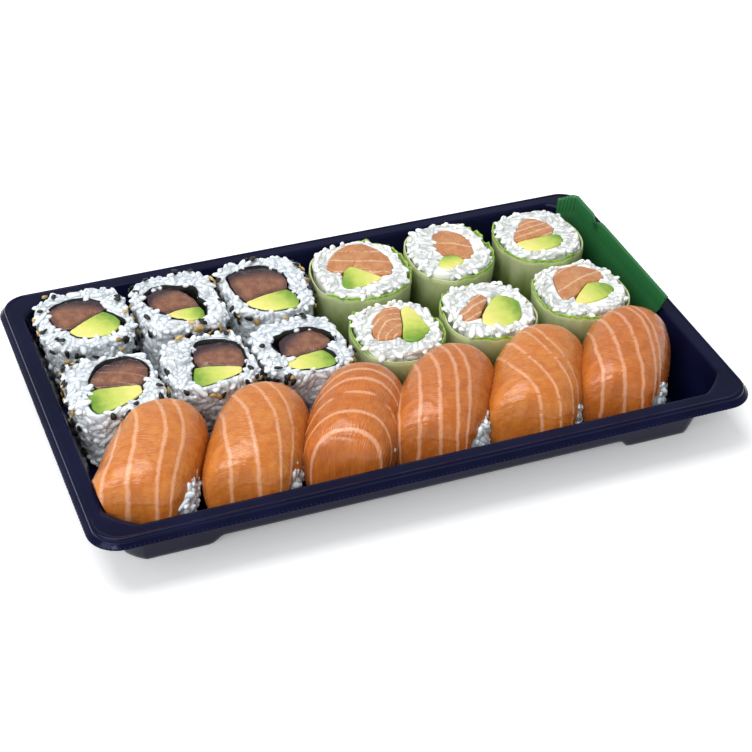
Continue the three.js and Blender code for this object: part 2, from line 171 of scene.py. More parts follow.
def reach(segments: Array, centre: Array) -> Array:
    """How far segments reach from a centre along each spoke.

    A spoke u from the centre c meets the segment from p along e at the distance (p - c) x e / (u x e),
    where (p - c) x u / (u x e) lies between 0 and 1. The farthest meeting counts.

    Args:
        segments: Segments in plan, (count, 2, 2).
        centre: A point inside them.

    Returns:
        One distance for each of the shared angles.
    """
    spokes = SPOKES[:, None]
    start = segments[None, :, 0] - centre
    edge = segments[None, :, 1] - segments[None, :, 0]
    slope = cross_2d(spokes, edge)
    slope = np.where(np.abs(slope) < 1e-9, 1e-9, slope)
    distance = cross_2d(start, edge) / slope
    share = cross_2d(start, spokes) / slope
    hit = (share > -1e-5) & (share < 1 + 1e-5) & (distance > 0)
    return np.where(hit, distance, 0.0).max(axis=1)


@dataclass
class Outline:
    """A closed outline: a radius from its centre at each of the shared angles."""

    centre: Array
    radii: Array

    @classmethod
    def of(cls, nodes: Sequence[str], height: float, smoothing: float) -> "Outline":
        """The outline of CAD nodes at a level, rounded off by a smoothing in points.

        Args:
            nodes: Node names.
            height: The level in millimetres.
            smoothing: The bell curve's width, in points.

        Returns:
            The outline, about the middle of its own box.
        """
        segments = section(nodes, height)
        centre = (segments.reshape(-1, 2).min(axis=0) + segments.reshape(-1, 2).max(axis=0)) / 2
        return cls(centre, round_smooth(reach(segments, centre), smoothing))

    def at(self, height: Array | float, growth: Array | float = 0.0, share: float = 1.0) -> Array:
        """The outline's points lifted to a height, grown by a distance, and scaled about its centre."""
        flat = self.centre + ((self.radii + growth) * share)[:, None] * SPOKES
        return np.column_stack([flat, np.broadcast_to(height, COLUMNS)])


@dataclass
class Stack:
    """A solid's outlines about one centre at several heights, lowest first."""

    centre: Array
    heights: Array
    radii: Array

    @classmethod
    def of(cls, node: str, heights: Array, smoothing: float) -> "Stack":
        """The outlines of a CAD node at several heights about the middle of its box.

        Args:
            node: The node's name.
            heights: The levels in millimetres, lowest first.
            smoothing: The bell curve's width, in points.

        Returns:
            The outlines.
        """
        low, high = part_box(node)
        centre = np.array([low.x + high.x, low.y + high.y]) / (2 * MM)
        rows = [round_smooth(reach(section([node], level), centre), smoothing) for level in heights]
        return cls(centre, np.asarray(heights, float), np.array(rows))

    def at(self, height: float, growth: Array | float = 0.0) -> Array:
        """The outline's points at a height between the known ones, grown by a distance.

        Args:
            height: The height in millimetres.
            growth: A distance for all angles or one for each.

        Returns:
            The outline's points, (columns, 3).
        """
        place = np.interp(height, self.heights, np.arange(len(self.heights)))
        low = min(int(place), len(self.heights) - 2)
        radii = self.radii[low] + (place - low) * (self.radii[low + 1] - self.radii[low])
        flat = self.centre + (radii + growth)[:, None] * SPOKES
        return np.column_stack([flat, np.full(COLUMNS, height)])


# ------------------------------------------------------------------------------ surfaces


@dataclass
class Surface:
    """Points in millimetres, faces as arrays of point numbers, and named values at the points."""

    points: Array
    faces: list[Array]
    marks: dict[str, Array] = field(default_factory=dict)

    def triangles(self) -> Array:
        """The point numbers of all faces as triangles, quads split in two.

        Returns:
            Point numbers, (count, 3).
        """
        split = [np.concatenate([f[:, :3], f[:, [0, 2, 3]]]) if f.shape[1] == 4 else f
                 for f in self.faces]
        return np.concatenate(split)

    def outward(self) -> "Surface":
        """The surface with its faces turned outwards: those of a closed one enclose a positive volume.

        Returns:
            The same surface.
        """
        corners = self.points[self.triangles()]
        volume = np.einsum("ij,ij->", corners[:, 0], np.cross(corners[:, 1], corners[:, 2]))
        if volume < 0:
            self.faces = [face[:, ::-1] for face in self.faces]
        return self

    def mesh(self, name: str) -> bpy.types.Mesh:
        """A Blender mesh of the surface, in metres, with its marks as attributes.

        Args:
            name: The mesh's name.

        Returns:
            The mesh, shaded smooth.
        """
        mesh = bpy.data.meshes.new(name)
        sizes = np.concatenate([np.full(len(f), f.shape[1]) for f in self.faces])
        corners = np.concatenate([f.ravel() for f in self.faces])
        mesh.vertices.add(len(self.points))
        mesh.vertices.foreach_set("co", (self.points * MM).ravel())
        mesh.loops.add(len(corners))
        mesh.loops.foreach_set("vertex_index", corners.astype(np.int32))
        mesh.polygons.add(len(sizes))
        starts = np.concatenate([[0], np.cumsum(sizes)[:-1]])
        mesh.polygons.foreach_set("loop_start", starts.astype(np.int32))
        mesh.update(calc_edges=True)
        mesh.validate()
        mesh.shade_smooth()
        for mark, values in self.marks.items():
            kind = "FLOAT" if values.ndim == 1 else "FLOAT_VECTOR"
            key = "value" if values.ndim == 1 else "vector"
            attribute = mesh.attributes.new(mark, kind, "POINT")
            attribute.data.foreach_set(key, values.astype(np.float32).ravel())
        return mesh


def joined(surfaces: Sequence[Surface]) -> Surface:
    """Several surfaces as one. A mark that one of them lacks is 0 there.

    Args:
        surfaces: The surfaces, in order.

    Returns:
        One surface with the faces and marks of all.
    """
    names = sorted({name for surface in surfaces for name in surface.marks})
    offsets = np.cumsum([0] + [len(surface.points) for surface in surfaces])
    faces = [f + offset for surface, offset in zip(surfaces, offsets) for f in surface.faces]
    marks = {
        name: np.concatenate([s.marks.get(name, np.zeros(len(s.points))) for s in surfaces])
        for name in names
    }
    return Surface(np.concatenate([s.points for s in surfaces]), faces, marks)


def grid_quads(index: Array, close_rows: bool, close_columns: bool) -> Array:
    """The quads between the rows and columns of a grid of point numbers.

    Args:
        index: Point numbers, (rows, columns).
        close_rows: Whether the last row meets the first.
        close_columns: Whether the last column meets the first.

    Returns:
        The quads, (count, 4).
    """
    if close_rows:
        index = np.concatenate([index, index[:1]])
    if close_columns:
        index = np.concatenate([index, index[:, :1]], axis=1)
    corners = [index[:-1, :-1], index[:-1, 1:], index[1:, 1:], index[1:, :-1]]
    return np.stack(corners, axis=-1).reshape(-1, 4)


def ring(rows: Array) -> Surface:
    """A closed ring: a grid (rows, columns, 3) whose rows and columns both run round."""
    index = np.arange(rows.shape[0] * rows.shape[1]).reshape(rows.shape[:2])
    return Surface(rows.reshape(-1, 3), [grid_quads(index, True, True)]).outward()


def capped(rows: Array) -> Surface:
    """A closed lump: a grid whose columns run round, with a fan to a middle point at each end.

    Args:
        rows: The grid, (rows, columns, 3).

    Returns:
        The lump, whose last two points are the middles of its ends.
    """
    count = rows.shape[0] * rows.shape[1]
    index = np.arange(count).reshape(rows.shape[:2])
    poles = rows[[0, -1]].mean(axis=1)
    first, last = index[0], index[-1]
    fans = [
        np.column_stack([np.full(len(first), count), np.roll(first, -1), first]),
        np.column_stack([np.full(len(last), count + 1), last, np.roll(last, -1)]),
    ]
    quads = grid_quads(index, False, True)
    points = np.concatenate([rows.reshape(-1, 3), poles])
    return Surface(points, [quads, np.concatenate(fans)]).outward()


def grid_normals(grid: Array, close_columns: bool) -> Array:
    """The normals of a grid: the cross product of its two central differences.

    Args:
        grid: The grid, (rows, columns, 3).
        close_columns: Whether the last column meets the first.

    Returns:
        One normal of length 1 for each point.
    """
    if close_columns:
        across = np.roll(grid, -1, axis=1) - np.roll(grid, 1, axis=1)
    else:
        across = np.gradient(grid, axis=1)
    return unit(np.cross(across, np.gradient(grid, axis=0)))


def leaf(
    grid: Array, thickness: Array | float, marks: dict[str, Array], close_columns: bool = False
) -> Surface:
    """A thin closed sheet: a grid and its copy moved in along the normals by a thickness.

    Both sides share their points at the open borders, so the sheet closes there.

    Args:
        grid: The outer side, (rows, columns, 3).
        thickness: One value for all points or one for each.
        marks: Named values at the grid's points, which both sides take.
        close_columns: Whether the last column meets the first.

    Returns:
        The closed sheet.
    """
    rows, columns = grid.shape[:2]
    index = np.arange(rows * columns).reshape(rows, columns)
    border = np.zeros((rows, columns), bool)
    border[[0, -1]] = True
    if not close_columns:
        border[:, [0, -1]] = True
    depth = np.broadcast_to(thickness, (rows, columns))
    inner = grid - grid_normals(grid, close_columns) * depth[..., None]
    inner_index = np.where(border, index, 0)
    inner_index[~border] = rows * columns + np.arange((~border).sum())
    outer_quads = grid_quads(index, False, close_columns)
    inner_quads = grid_quads(inner_index, False, close_columns)[:, ::-1]
    points = np.concatenate([grid.reshape(-1, 3), inner[~border]])
    both_sides = {}
    for name, values in marks.items():
        flat = values.reshape(rows * columns, *values.shape[2:])
        both_sides[name] = np.concatenate([flat, flat[~border.ravel()]])
    return Surface(points, [outer_quads, inner_quads], both_sides).outward()


# ------------------------------------------------------------------------------ scattered things


@dataclass
class Spots:
    """Places scattered over a surface: points in millimetres and the surface's normals there."""

    points: Array
    normals: Array

    def keep(self, mask: Array) -> "Spots":
        """The spots where a mask is true."""
        return Spots(self.points[mask], self.normals[mask])


def scatter(surface: Surface, weight: Array, spacing: float, rng: np.random.Generator) -> Spots:
    """Spots spread evenly over a surface: random ones by area, thinned to one for each small cube.

    Args:
        surface: The surface to cover.
        weight: How much of each point's surroundings is covered, from 0 to 1.
        spacing: The side of the small cubes, in millimetres.
        rng: Draws the random numbers.

    Returns:
        The spots.
    """
    triangles = surface.triangles()
    corners = surface.points[triangles]
    normals = np.cross(corners[:, 1] - corners[:, 0], corners[:, 2] - corners[:, 0])
    areas = np.linalg.norm(normals, axis=1) / 2 * weight[triangles].mean(axis=1)
    count = int(6 * areas.sum() / spacing**2)
    chosen = rng.choice(len(triangles), count, p=areas / areas.sum())
    first, second = rng.random((2, count, 1))
    flip = first + second > 1
    first, second = np.where(flip, 1 - first, first), np.where(flip, 1 - second, second)
    base = corners[chosen]
    points = base[:, 0] + first * (base[:, 1] - base[:, 0]) + second * (base[:, 2] - base[:, 0])
    cells = np.floor(points / spacing).astype(np.int64)
    kept = np.unique(cells, axis=0, return_index=True)[1]
    kept = kept[rng.permutation(len(kept))]
    return Spots(points[kept], unit(normals[chosen])[kept])


@dataclass(frozen=True)
class Seed:
    """A small pointed or rounded body with a few dozen faces: a superellipse turned about its length."""

    length: float
    width: float
    thickness: float
    bend: float = 0.0
    taper: float = 0.0
    around: int = 6
    rings: int = 4

    def shape(self) -> Surface:
        """The body about the origin, along x: its radius at the share t of its half length is
        (1 - |t|^2.6)^0.5, less the taper times t, and it bends up by the bend times t².

        Returns:
            The closed body.
        """
        share = np.sin(np.linspace(-1, 1, self.rings + 2)[1:-1] * np.pi / 2 * 0.92)
        radius = np.sqrt(1 - np.abs(share) ** 2.6) * (1 - self.taper * share)
        angle = np.linspace(0, 2 * np.pi, self.around, endpoint=False)
        rows = np.empty((self.rings, self.around, 3))
        rows[..., 0] = (share * self.length / 2)[:, None]
        rows[..., 1] = radius[:, None] * np.cos(angle) * self.width / 2
        rows[..., 2] = radius[:, None] * np.sin(angle) * self.thickness / 2
        rows[..., 2] += (self.bend * share**2)[:, None]
        body = capped(rows)
        body.points[-2, 0] = -self.length / 2
        body.points[-1, 0] = self.length / 2
        return body


def laid(
    seed: Seed,
    spots: Spots,
    lift: Array,
    sink: Array,
    rng: np.random.Generator,
    lean: Array | None = None,
) -> Surface:
    """Copies of a small body laid on spots, each turned at random about the surface's normal.

    Args:
        seed: The body.
        spots: Where the copies lie.
        lift: How steeply each copy's length rises from the surface, as a slope.
        sink: How deep each copy's middle lies below its spot, in millimetres.
        rng: Draws the random numbers.
        lean: A direction that each copy's length leans to, if given.

    Returns:
        All copies as one surface. Its mark "tone" is a random number for each copy.
    """
    count = len(spots.points)
    random = rng.normal(size=(count, 3))
    tangent = unit(random - (random * spots.normals).sum(1, keepdims=True) * spots.normals)
    along = tangent + lift[:, None] * spots.normals
    along = unit(along if lean is None else along + lean)
    side = unit(np.cross(spots.normals + 1e-3 * random, along))
    up = np.cross(along, side)
    size = rng.uniform(0.84, 1.14, (count, 1, 3))
    body = seed.shape()
    axes = np.stack([along, side, up], axis=1) * size.transpose(0, 2, 1)
    turned = np.einsum("kj,njx->nkx", body.points, axes)
    points = turned + (spots.points - sink[:, None] * spots.normals)[:, None]
    starts = np.arange(count) * len(body.points)
    faces = [(f[None] + starts[:, None, None]).reshape(-1, f.shape[1]) for f in body.faces]
    tone = np.repeat(rng.random(count), len(body.points))
    return Surface(points.reshape(-1, 3), faces, {"tone": tone})


RICE_GRAIN = Seed(length=6.6, width=2.6, thickness=2.0, bend=0.25, around=8, rings=5)
PRESSED_GRAIN = Seed(length=6.6, width=2.7, thickness=1.5, bend=0.15, around=8, rings=5)
SESAME_SEED = Seed(length=3.1, width=1.9, thickness=0.95, taper=0.3)


# ------------------------------------------------------------------------------ finishes


def linear(colour: str) -> tuple[float, float, float, float]:
    """An sRGB hex colour as linear RGBA.

    Args:
        colour: Six hex digits after a #.

    Returns:
        Red, green, blue and 1.
    """
    values = np.array([int(colour[i:i + 2], 16) for i in (1, 3, 5)]) / 255
    red, green, blue = np.where(values <= 0.04045, values / 12.92, ((values + 0.055) / 1.055) ** 2.4)
    return float(red), float(green), float(blue), 1.0


def add(tree: Tree, kind: str, inputs: dict | None = None, **settings: object) -> bpy.types.Node:
    """Adds a node with its settings, and fills its inputs with values or links.

    Args:
        tree: The material's node tree.
        kind: The node's type.
        inputs: Values or sockets by the input's name or number.
        **settings: The node's own properties.

    Returns:
        The node.
    """
    node = tree.nodes.new(kind)
    for name, value in settings.items():
        setattr(node, name, value)
    for name, value in (inputs or {}).items():
        if isinstance(value, bpy.types.NodeSocket):
            tree.links.new(value, node.inputs[name])
        else:
            node.inputs[name].default_value = value
    return node


class Finish:
    """A finish that a piece is dressed in. Each kind adds its own nodes in dress()."""

    name: str

    def dress(self, tree: Tree, shader: bpy.types.Node) -> None:
        """Adds the finish's nodes to its tree and sets its shader."""
        raise NotImplementedError

    def material(self) -> bpy.types.Material:
        """The finish's material, made the first time and shared afterwards.

        Returns:
            The material.
        """
        known = bpy.data.materials.get(self.name)
        if known:
            return known
        material = bpy.data.materials.new(self.name)
        material.use_nodes = True
        tree = material.node_tree
        tree.nodes.clear()
        shader = add(tree, "ShaderNodeBsdfPrincipled")
        add(tree, "ShaderNodeOutputMaterial", {"Surface": shader.outputs[0]})
        self.dress(tree, shader)
        return material


def noise_of(
    tree: Tree,
    grain_mm: float,
    detail: float = 2.0,
    stretch: Sequence[float] = (1, 1, 1),
    source: bpy.types.NodeSocket | None = None,
) -> bpy.types.NodeSocket:
    """Noise whose grain has a size in millimetres, read in object space or from a given position.

    Args:
        tree: The material's node tree.
        grain_mm: The size of the grain where it isn't stretched.
        detail: How many finer layers it has.
        stretch: How much longer the grain is along each axis.
        source: A position in metres, or the object's own where it is left out.

    Returns:
        The noise, from about 0.2 to 0.8.
    """
    place = source or add(tree, "ShaderNodeTexCoord").outputs["Object"]
    scale = [1 / length for length in stretch]
    mapped = add(tree, "ShaderNodeMapping", {"Vector": place, "Scale": scale})
    inputs = {"Vector": mapped.outputs[0], "Scale": 1 / (grain_mm * MM), "Detail": detail}
    return add(tree, "ShaderNodeTexNoise", inputs).outputs[0]


def ramp(tree: Tree, value: bpy.types.NodeSocket, low: float, high: float) -> bpy.types.NodeSocket:
    """A value brought to 0 at one limit and 1 at the other, with a smooth step.

    Args:
        tree: The material's node tree.
        value: The value to bring between the limits.
        low: Where the result is 0.
        high: Where the result is 1.

    Returns:
        The result.
    """
    inputs = {"Value": value, "From Min": low, "From Max": high}
    return add(tree, "ShaderNodeMapRange", inputs, interpolation_type="SMOOTHSTEP").outputs[0]


def blend(tree: Tree, share: bpy.types.NodeSocket, first: object, second: object) -> bpy.types.NodeSocket:
    """A colour mixed from two colours or sockets by a share.

    Args:
        tree: The material's node tree.
        share: How much of the second colour there is.
        first: A hex colour or a socket.
        second: A hex colour or a socket.

    Returns:
        The mixed colour.
    """
    colours = [linear(c) if isinstance(c, str) else c for c in (first, second)]
    node = add(tree, "ShaderNodeMix", {0: share, 6: colours[0], 7: colours[1]}, data_type="RGBA")
    return node.outputs[2]


def bump(
    tree: Tree,
    height: bpy.types.NodeSocket,
    depth_mm: float,
    strength: float,
    below: bpy.types.NodeSocket | None = None,
) -> bpy.types.NodeSocket:
    """A bump of a depth in millimetres, over another normal where one is given.

    Args:
        tree: The material's node tree.
        height: The pattern that is raised.
        depth_mm: How high it is where it is 1.
        strength: How much of it shows.
        below: The normal that it lies over.

    Returns:
        The normal.
    """
    inputs = {"Height": height, "Distance": depth_mm * MM, "Strength": strength}
    if below:
        inputs["Normal"] = below
    return add(tree, "ShaderNodeBump", inputs).outputs[0]


def mark(tree: Tree, name: str) -> bpy.types.Node:
    """The node that reads one of a piece's marks."""
    return add(tree, "ShaderNodeAttribute", attribute_name=name)


def math_node(tree: Tree, operation: str, *values: object) -> bpy.types.NodeSocket:
    """The result of one arithmetic operation on numbers or sockets."""
    node = add(tree, "ShaderNodeMath", dict(enumerate(values)), operation=operation)
    return node.outputs[0]


def set_shader(shader: bpy.types.Node, **values: float) -> None:
    """Sets constants on the shader's own sockets, named with underscores for spaces."""
    for name, value in values.items():
        shader.inputs[name.replace("_", " ")].default_value = value


@dataclass(frozen=True)
class MouldedPolystyrene(Finish):
    """High-impact polystyrene sheet, thermoformed over a cold mould.

    The eye sees near-black plastic with a blue cast, a soft gloss, and a faint ripple from cooling.
    """

    name: str = "thermoformed_polystyrene"
    colour: str = "#080a21"
    worn: str = "#0d0f2a"

    def dress(self, tree: Tree, shader: bpy.types.Node) -> None:
        """Blue-black with slow cloudiness, a 6 mm ripple and a fine 0.5 mm grain.

        Args:
            tree: The material's node tree.
            shader: The shader to set.
        """
        cloud = ramp(tree, noise_of(tree, 18), 0.3, 0.7)
        tree.links.new(blend(tree, cloud, self.colour, self.worn), shader.inputs["Base Color"])
        grain = math_node(tree, "MULTIPLY_ADD", noise_of(tree, 3.0, 3), 0.12, 0.12)
        tree.links.new(grain, shader.inputs["Roughness"])
        ripple = bump(tree, noise_of(tree, 6, 1), 0.1, 0.25)
        tree.links.new(bump(tree, noise_of(tree, 0.5), 0.02, 0.2, ripple), shader.inputs["Normal"])
        set_shader(shader, IOR=1.5, Specular_IOR_Level=0.2)
        shader.inputs["Specular Tint"].default_value = linear("#bcc2f2")


@dataclass(frozen=True)
class GreenFilm(Finish):
    """Dyed polypropylene film, rolled with fine upright ribs.

    The eye sees a clear green. Its colour has painted shade: darker where the film stands in the tray's
    shadow, in its furrows and at its nick.
    """

    name: str = "ribbed_polypropylene_film"
    light: str = "#2c723f"
    # the film's lower colour: painted shade where it stands in the tray's shadow
    deep: str = "#092c14"

    def dress(self, tree: Tree, shader: bpy.types.Node) -> None:
        """Green with painted shade: darker downwards by the mark "rise", and darker in the furrows by the
        mark "rib".

        Args:
            tree: The material's node tree.
            shader: The shader to set.
        """
        # Painted shade: the film darkens downwards by the mark "rise".
        rise = ramp(tree, mark(tree, "rise").outputs["Fac"], 0.1, 0.95)
        green = blend(tree, rise, self.deep, self.light)
        # Painted shade: the furrows between the ribs are darkened to a deep green.
        furrow = ramp(tree, mark(tree, "rib").outputs["Fac"], 0.1, 0.7)
        tree.links.new(blend(tree, furrow, "#134c26", green), shader.inputs["Base Color"])
        tree.links.new(bump(tree, noise_of(tree, 0.8), 0.03, 0.3), shader.inputs["Normal"])
        set_shader(shader, Roughness=0.38, IOR=1.49, Transmission_Weight=0.1)


@dataclass(frozen=True)
class CookedRice(Finish):
    """Short-grain rice, steamed and dressed with vinegar.

    The eye sees moist white grains that let light in, a little greyer from grain to grain.
    """

    name: str = "steamed_rice"
    light: str = "#f0f5f5"
    dull: str = "#dee5e7"
    # the paste's colour: greyer here as painted shade in the gaps between grains
    between: str = "#d3dadf"

    def dress(self, tree: Tree, shader: bpy.types.Node) -> None:
        """Each grain has its own tone, and the paste between the grains takes the colour "between", which
        in the plain rice is greyer as painted shade in the gaps.

        Args:
            tree: The material's node tree.
            shader: The shader to set.
        """
        tone = mark(tree, "tone").outputs["Fac"]
        grains = blend(tree, tone, self.light, self.dull)
        cloud = ramp(tree, noise_of(tree, 2.2, 3), 0.35, 0.7)
        mottled = blend(tree, math_node(tree, "MULTIPLY", cloud, 0.5), grains, self.dull)
        # Painted shade: the paste seen in the gaps between grains takes its own colour, greyer than the
        # grains in the plain rice.
        paste = mark(tree, "paste").outputs["Fac"]
        tree.links.new(blend(tree, paste, mottled, self.between), shader.inputs["Base Color"])
        rough = bump(tree, noise_of(tree, 0.9, 2), 0.1, 0.35)
        tree.links.new(rough, shader.inputs["Normal"])
        set_shader(shader, Roughness=0.46, IOR=1.36, Specular_IOR_Level=0.35, Subsurface_Weight=0.6,
                   Subsurface_Scale=0.0025)
        shader.inputs["Subsurface Radius"].default_value = (1.0, 0.9, 0.75)


@dataclass(frozen=True)
class SesameHusk(Finish):
    """Sesame seed, dried or toasted in its husk: a dull, slightly pitted skin."""

    name: str
    light: str
    dark: str

    def dress(self, tree: Tree, shader: bpy.types.Node) -> None:
        """Each seed has its own tone, over fine pits of 0.3 mm.

        Args:
            tree: The material's node tree.
            shader: The shader to set.
        """
        tone = mark(tree, "tone").outputs["Fac"]
        tree.links.new(blend(tree, tone, self.light, self.dark), shader.inputs["Base Color"])
        tree.links.new(bump(tree, noise_of(tree, 0.3), 0.05, 0.4), shader.inputs["Normal"])
        set_shader(shader, Roughness=0.45, IOR=1.45)


@dataclass(frozen=True)
class PressedSeaweed(Finish):
    """Nori: seaweed pressed and dried to paper, now softened by the rice. Near black, dull green."""

    name: str = "pressed_seaweed"
    light: str = "#12160f"
    dark: str = "#050604"

    def dress(self, tree: Tree, shader: bpy.types.Node) -> None:
        """Mottled at 1.5 mm, with the crinkle of pressed sheet.

        Args:
            tree: The material's node tree.
            shader: The shader to set.
        """
        patch = ramp(tree, noise_of(tree, 1.5, 3), 0.35, 0.65)
        tree.links.new(blend(tree, patch, self.dark, self.light), shader.inputs["Base Color"])
        tree.links.new(bump(tree, noise_of(tree, 0.9, 3), 0.15, 0.6), shader.inputs["Normal"])
        set_shader(shader, Roughness=0.75, IOR=1.35)


@dataclass(frozen=True)
class RawSalmon(Finish):
    """Raw salmon sliced across its flakes: moist orange flesh with pale fat between the flakes.

    The mark "fat" gives the distance in millimetres to the nearest fat line, and "flesh" the place
    across and along the slice, so both patterns follow the cut.
    """

    name: str = "sliced_salmon"
    flesh: str = "#c87b33"
    deep: str = "#bb6b28"
    fat: str = "#dfa884"
    # darker flesh where the mark "edge" is high; on the nigiri slices this is painted shade on the flanks
    # and the hanging front
    dark_side: str = "#b45c1a"
    line_mm: float = 0.72
    fibre_mm: float = 0.7

    def dress(self, tree: Tree, shader: bpy.types.Node) -> None:
        """Fat lines with uneven edges, fibres four times as long as wide, and a wet coat.

        Args:
            tree: The material's node tree.
            shader: The shader to set.
        """
        place = mark(tree, "flesh").outputs["Vector"]
        cloud = ramp(tree, noise_of(tree, 4, 3, source=place), 0.35, 0.65)
        flesh = blend(tree, cloud, self.flesh, self.deep)
        fibre = noise_of(tree, self.fibre_mm, 2, (4.0, 1, 1), place)
        lit = math_node(tree, "MULTIPLY", ramp(tree, fibre, 0.5, 0.75), 0.12)
        flesh = blend(tree, lit, flesh, self.fat)
        # The mark "edge" darkens the flesh towards the dark side colour: painted shade on the nigiri
        # slices' flanks and front, and a dark outline and side on the rolls' salmon.
        edge = mark(tree, "edge").outputs["Fac"]
        flesh = blend(tree, edge, flesh, self.dark_side)
        ragged = math_node(tree, "MULTIPLY_ADD", noise_of(tree, 0.9, 3, source=place), 0.9, -0.45)
        distance = math_node(tree, "ADD", mark(tree, "fat").outputs["Fac"], ragged)
        away = ramp(tree, distance, 0.3 * self.line_mm, 1.45 * self.line_mm)
        line = math_node(tree, "MULTIPLY", math_node(tree, "SUBTRACT", 1.0, away), 0.75)
        tree.links.new(blend(tree, line, flesh, self.fat), shader.inputs["Base Color"])
        wet = math_node(tree, "MULTIPLY_ADD", noise_of(tree, 1.6, 3, source=place), 0.3, 0.08)
        tree.links.new(wet, shader.inputs["Roughness"])
        grain = bump(tree, fibre, 0.4, 0.9)
        dapple = noise_of(tree, 2.2, 3, source=place)
        tree.links.new(bump(tree, dapple, 0.4, 0.5, grain), shader.inputs["Normal"])
        set_shader(shader, IOR=1.4, Subsurface_Weight=0.4, Subsurface_Scale=0.003, Coat_Weight=0.35,
                   Coat_Roughness=0.14)
        shader.inputs["Subsurface Radius"].default_value = (1.0, 0.42, 0.2)


@dataclass(frozen=True)
class Avocado(Finish):
    """Ripe avocado, cut across: buttery yellow at the stone, green under the skin, smooth and moist."""

    name: str = "cut_avocado"
    yellow: str = "#ddd57b"
    middle: str = "#bcc85c"
    green: str = "#689029"

    def dress(self, tree: Tree, shader: bpy.types.Node) -> None:
        """Yellow to green by the mark "ripe", a little uneven, with a soft 1 mm dapple.

        Args:
            tree: The material's node tree.
            shader: The shader to set.
        """
        uneven = math_node(tree, "MULTIPLY_ADD", noise_of(tree, 2.5, 2), 0.3, -0.15)
        ripe = math_node(tree, "ADD", mark(tree, "ripe").outputs["Fac"], uneven)
        colour = blend(tree, ramp(tree, ripe, 0.1, 0.6), self.yellow, self.middle)
        colour = blend(tree, ramp(tree, ripe, 0.5, 1.0), colour, self.green)
        tree.links.new(colour, shader.inputs["Base Color"])
        tree.links.new(bump(tree, noise_of(tree, 1.0, 3), 0.12, 0.4), shader.inputs["Normal"])
        set_shader(shader, Roughness=0.35, IOR=1.4, Subsurface_Weight=0.2, Subsurface_Scale=0.0015,
                   Coat_Weight=0.2, Coat_Roughness=0.2)
        shader.inputs["Subsurface Radius"].default_value = (1.0, 0.9, 0.3)


@dataclass(frozen=True)
class SoftLeaf(Finish):
    """A thin soft leaf wrapped wet round the rice: pale green where the rice shines through it, darker
    towards the bottom as painted shade, and bright green along its free edge."""

    name: str = "soft_leaf_wrapper"
    pale: str = "#c0ca98"
    # the lower leaf's darker green: painted shade
    shade: str = "#768a42"
    edge: str = "#98b749"
    fold: str = "#669230"

    def dress(self, tree: Tree, shader: bpy.types.Node) -> None:
        """Green with painted shade that darkens downwards by the mark "lift", with veins of 5 mm and a
        bright edge by "brim".

        Args:
            tree: The material's node tree.
            shader: The shader to set.
        """
        vein = math_node(tree, "MULTIPLY_ADD", noise_of(tree, 5.0, 2, (1, 1, 3)), 0.7, -0.35)
        height = math_node(tree, "ADD", mark(tree, "lift").outputs["Fac"], vein)
        # Painted shade: the leaf is darker green at its bottom and pales upwards by the mark "lift".
        leaf_green = blend(tree, ramp(tree, height, 0.1, 1.0), self.shade, self.pale)
        brim = ramp(tree, mark(tree, "brim").outputs["Fac"], 0.25, 0.8)
        frill = blend(tree, ramp(tree, noise_of(tree, 1.6, 2), 0.4, 0.65), self.edge, self.fold)
        tree.links.new(blend(tree, brim, leaf_green, frill), shader.inputs["Base Color"])
        tree.links.new(bump(tree, noise_of(tree, 2.2, 3, (1, 1, 2)), 0.2, 0.35), shader.inputs["Normal"])
        set_shader(shader, Roughness=0.34, IOR=1.4, Subsurface_Weight=0.5, Subsurface_Scale=0.003,
                   Coat_Weight=0.2, Coat_Roughness=0.2)
        shader.inputs["Subsurface Radius"].default_value = (0.7, 1.0, 0.4)


@dataclass(frozen=True)
class StudioPaper(Finish):
    """Seamless white background paper: matt, with no pattern that the eye sees."""

    name: str = "background_paper"

    def dress(self, tree: Tree, shader: bpy.types.Node) -> None:
        """White with a trace of paper grain.

        Args:
            tree: The material's node tree.
            shader: The shader to set.
        """
        grain = ramp(tree, noise_of(tree, 4, 2), 0.2, 0.8)
        tree.links.new(blend(tree, grain, "#f4f4f4", "#f7f7f7"), shader.inputs["Base Color"])
        set_shader(shader, Roughness=0.9, Emission_Strength=0.22)
        shader.inputs["Emission Color"].default_value = linear("#ffffff")


# A deeper copy of the sliced salmon for nigiri 3, 4 and 6: partly the slices' own redder tone, partly
# painted shade.
DEEP_SALMON = RawSalmon("deep_sliced_salmon", "#c06f2d", "#b16123", "#dca582", "#9c4511")
BLACK_SESAME = SesameHusk("black_sesame_husk", "#1b1815", "#0b0a09")
GOLDEN_SESAME = SesameHusk("toasted_sesame_husk", "#cfb070", "#9a7636")
ROLL_SALMON = RawSalmon("salmon_in_seaweed", "#8f634a", "#784c39", "#a67d66", "#301e27", 0.25)
WRAP_SALMON = RawSalmon("salmon_in_leaf", "#c28959", "#b47649", "#ddbb9d", "#9e653e", 0.42)
WRAP_RICE = CookedRice("steamed_rice_in_leaf", "#fefef8", "#f6f8ee", "#f8faee")


# ------------------------------------------------------------------------------ pieces


def piece(
    surface: Surface, name: str, finish: Finish, replaces: Sequence[str] = ()
) -> bpy.types.Object:
    """A surface made into a finished piece that rides on the tray's body.

    Args:
        surface: Its shape.
        name: Its name.
        finish: What it is dressed in.
        replaces: The CAD nodes that it stands for.

    Returns:
        The piece.
    """
    thing = bpy.data.objects.new(name, surface.mesh(name))
    bpy.context.scene.collection.objects.link(thing)
    thing.data.materials.append(finish.material())
    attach(thing, BODY)
    if replaces:
        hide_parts(*replaces)
    LOG.info("%s: %d faces", name, len(thing.data.polygons))
    return thing


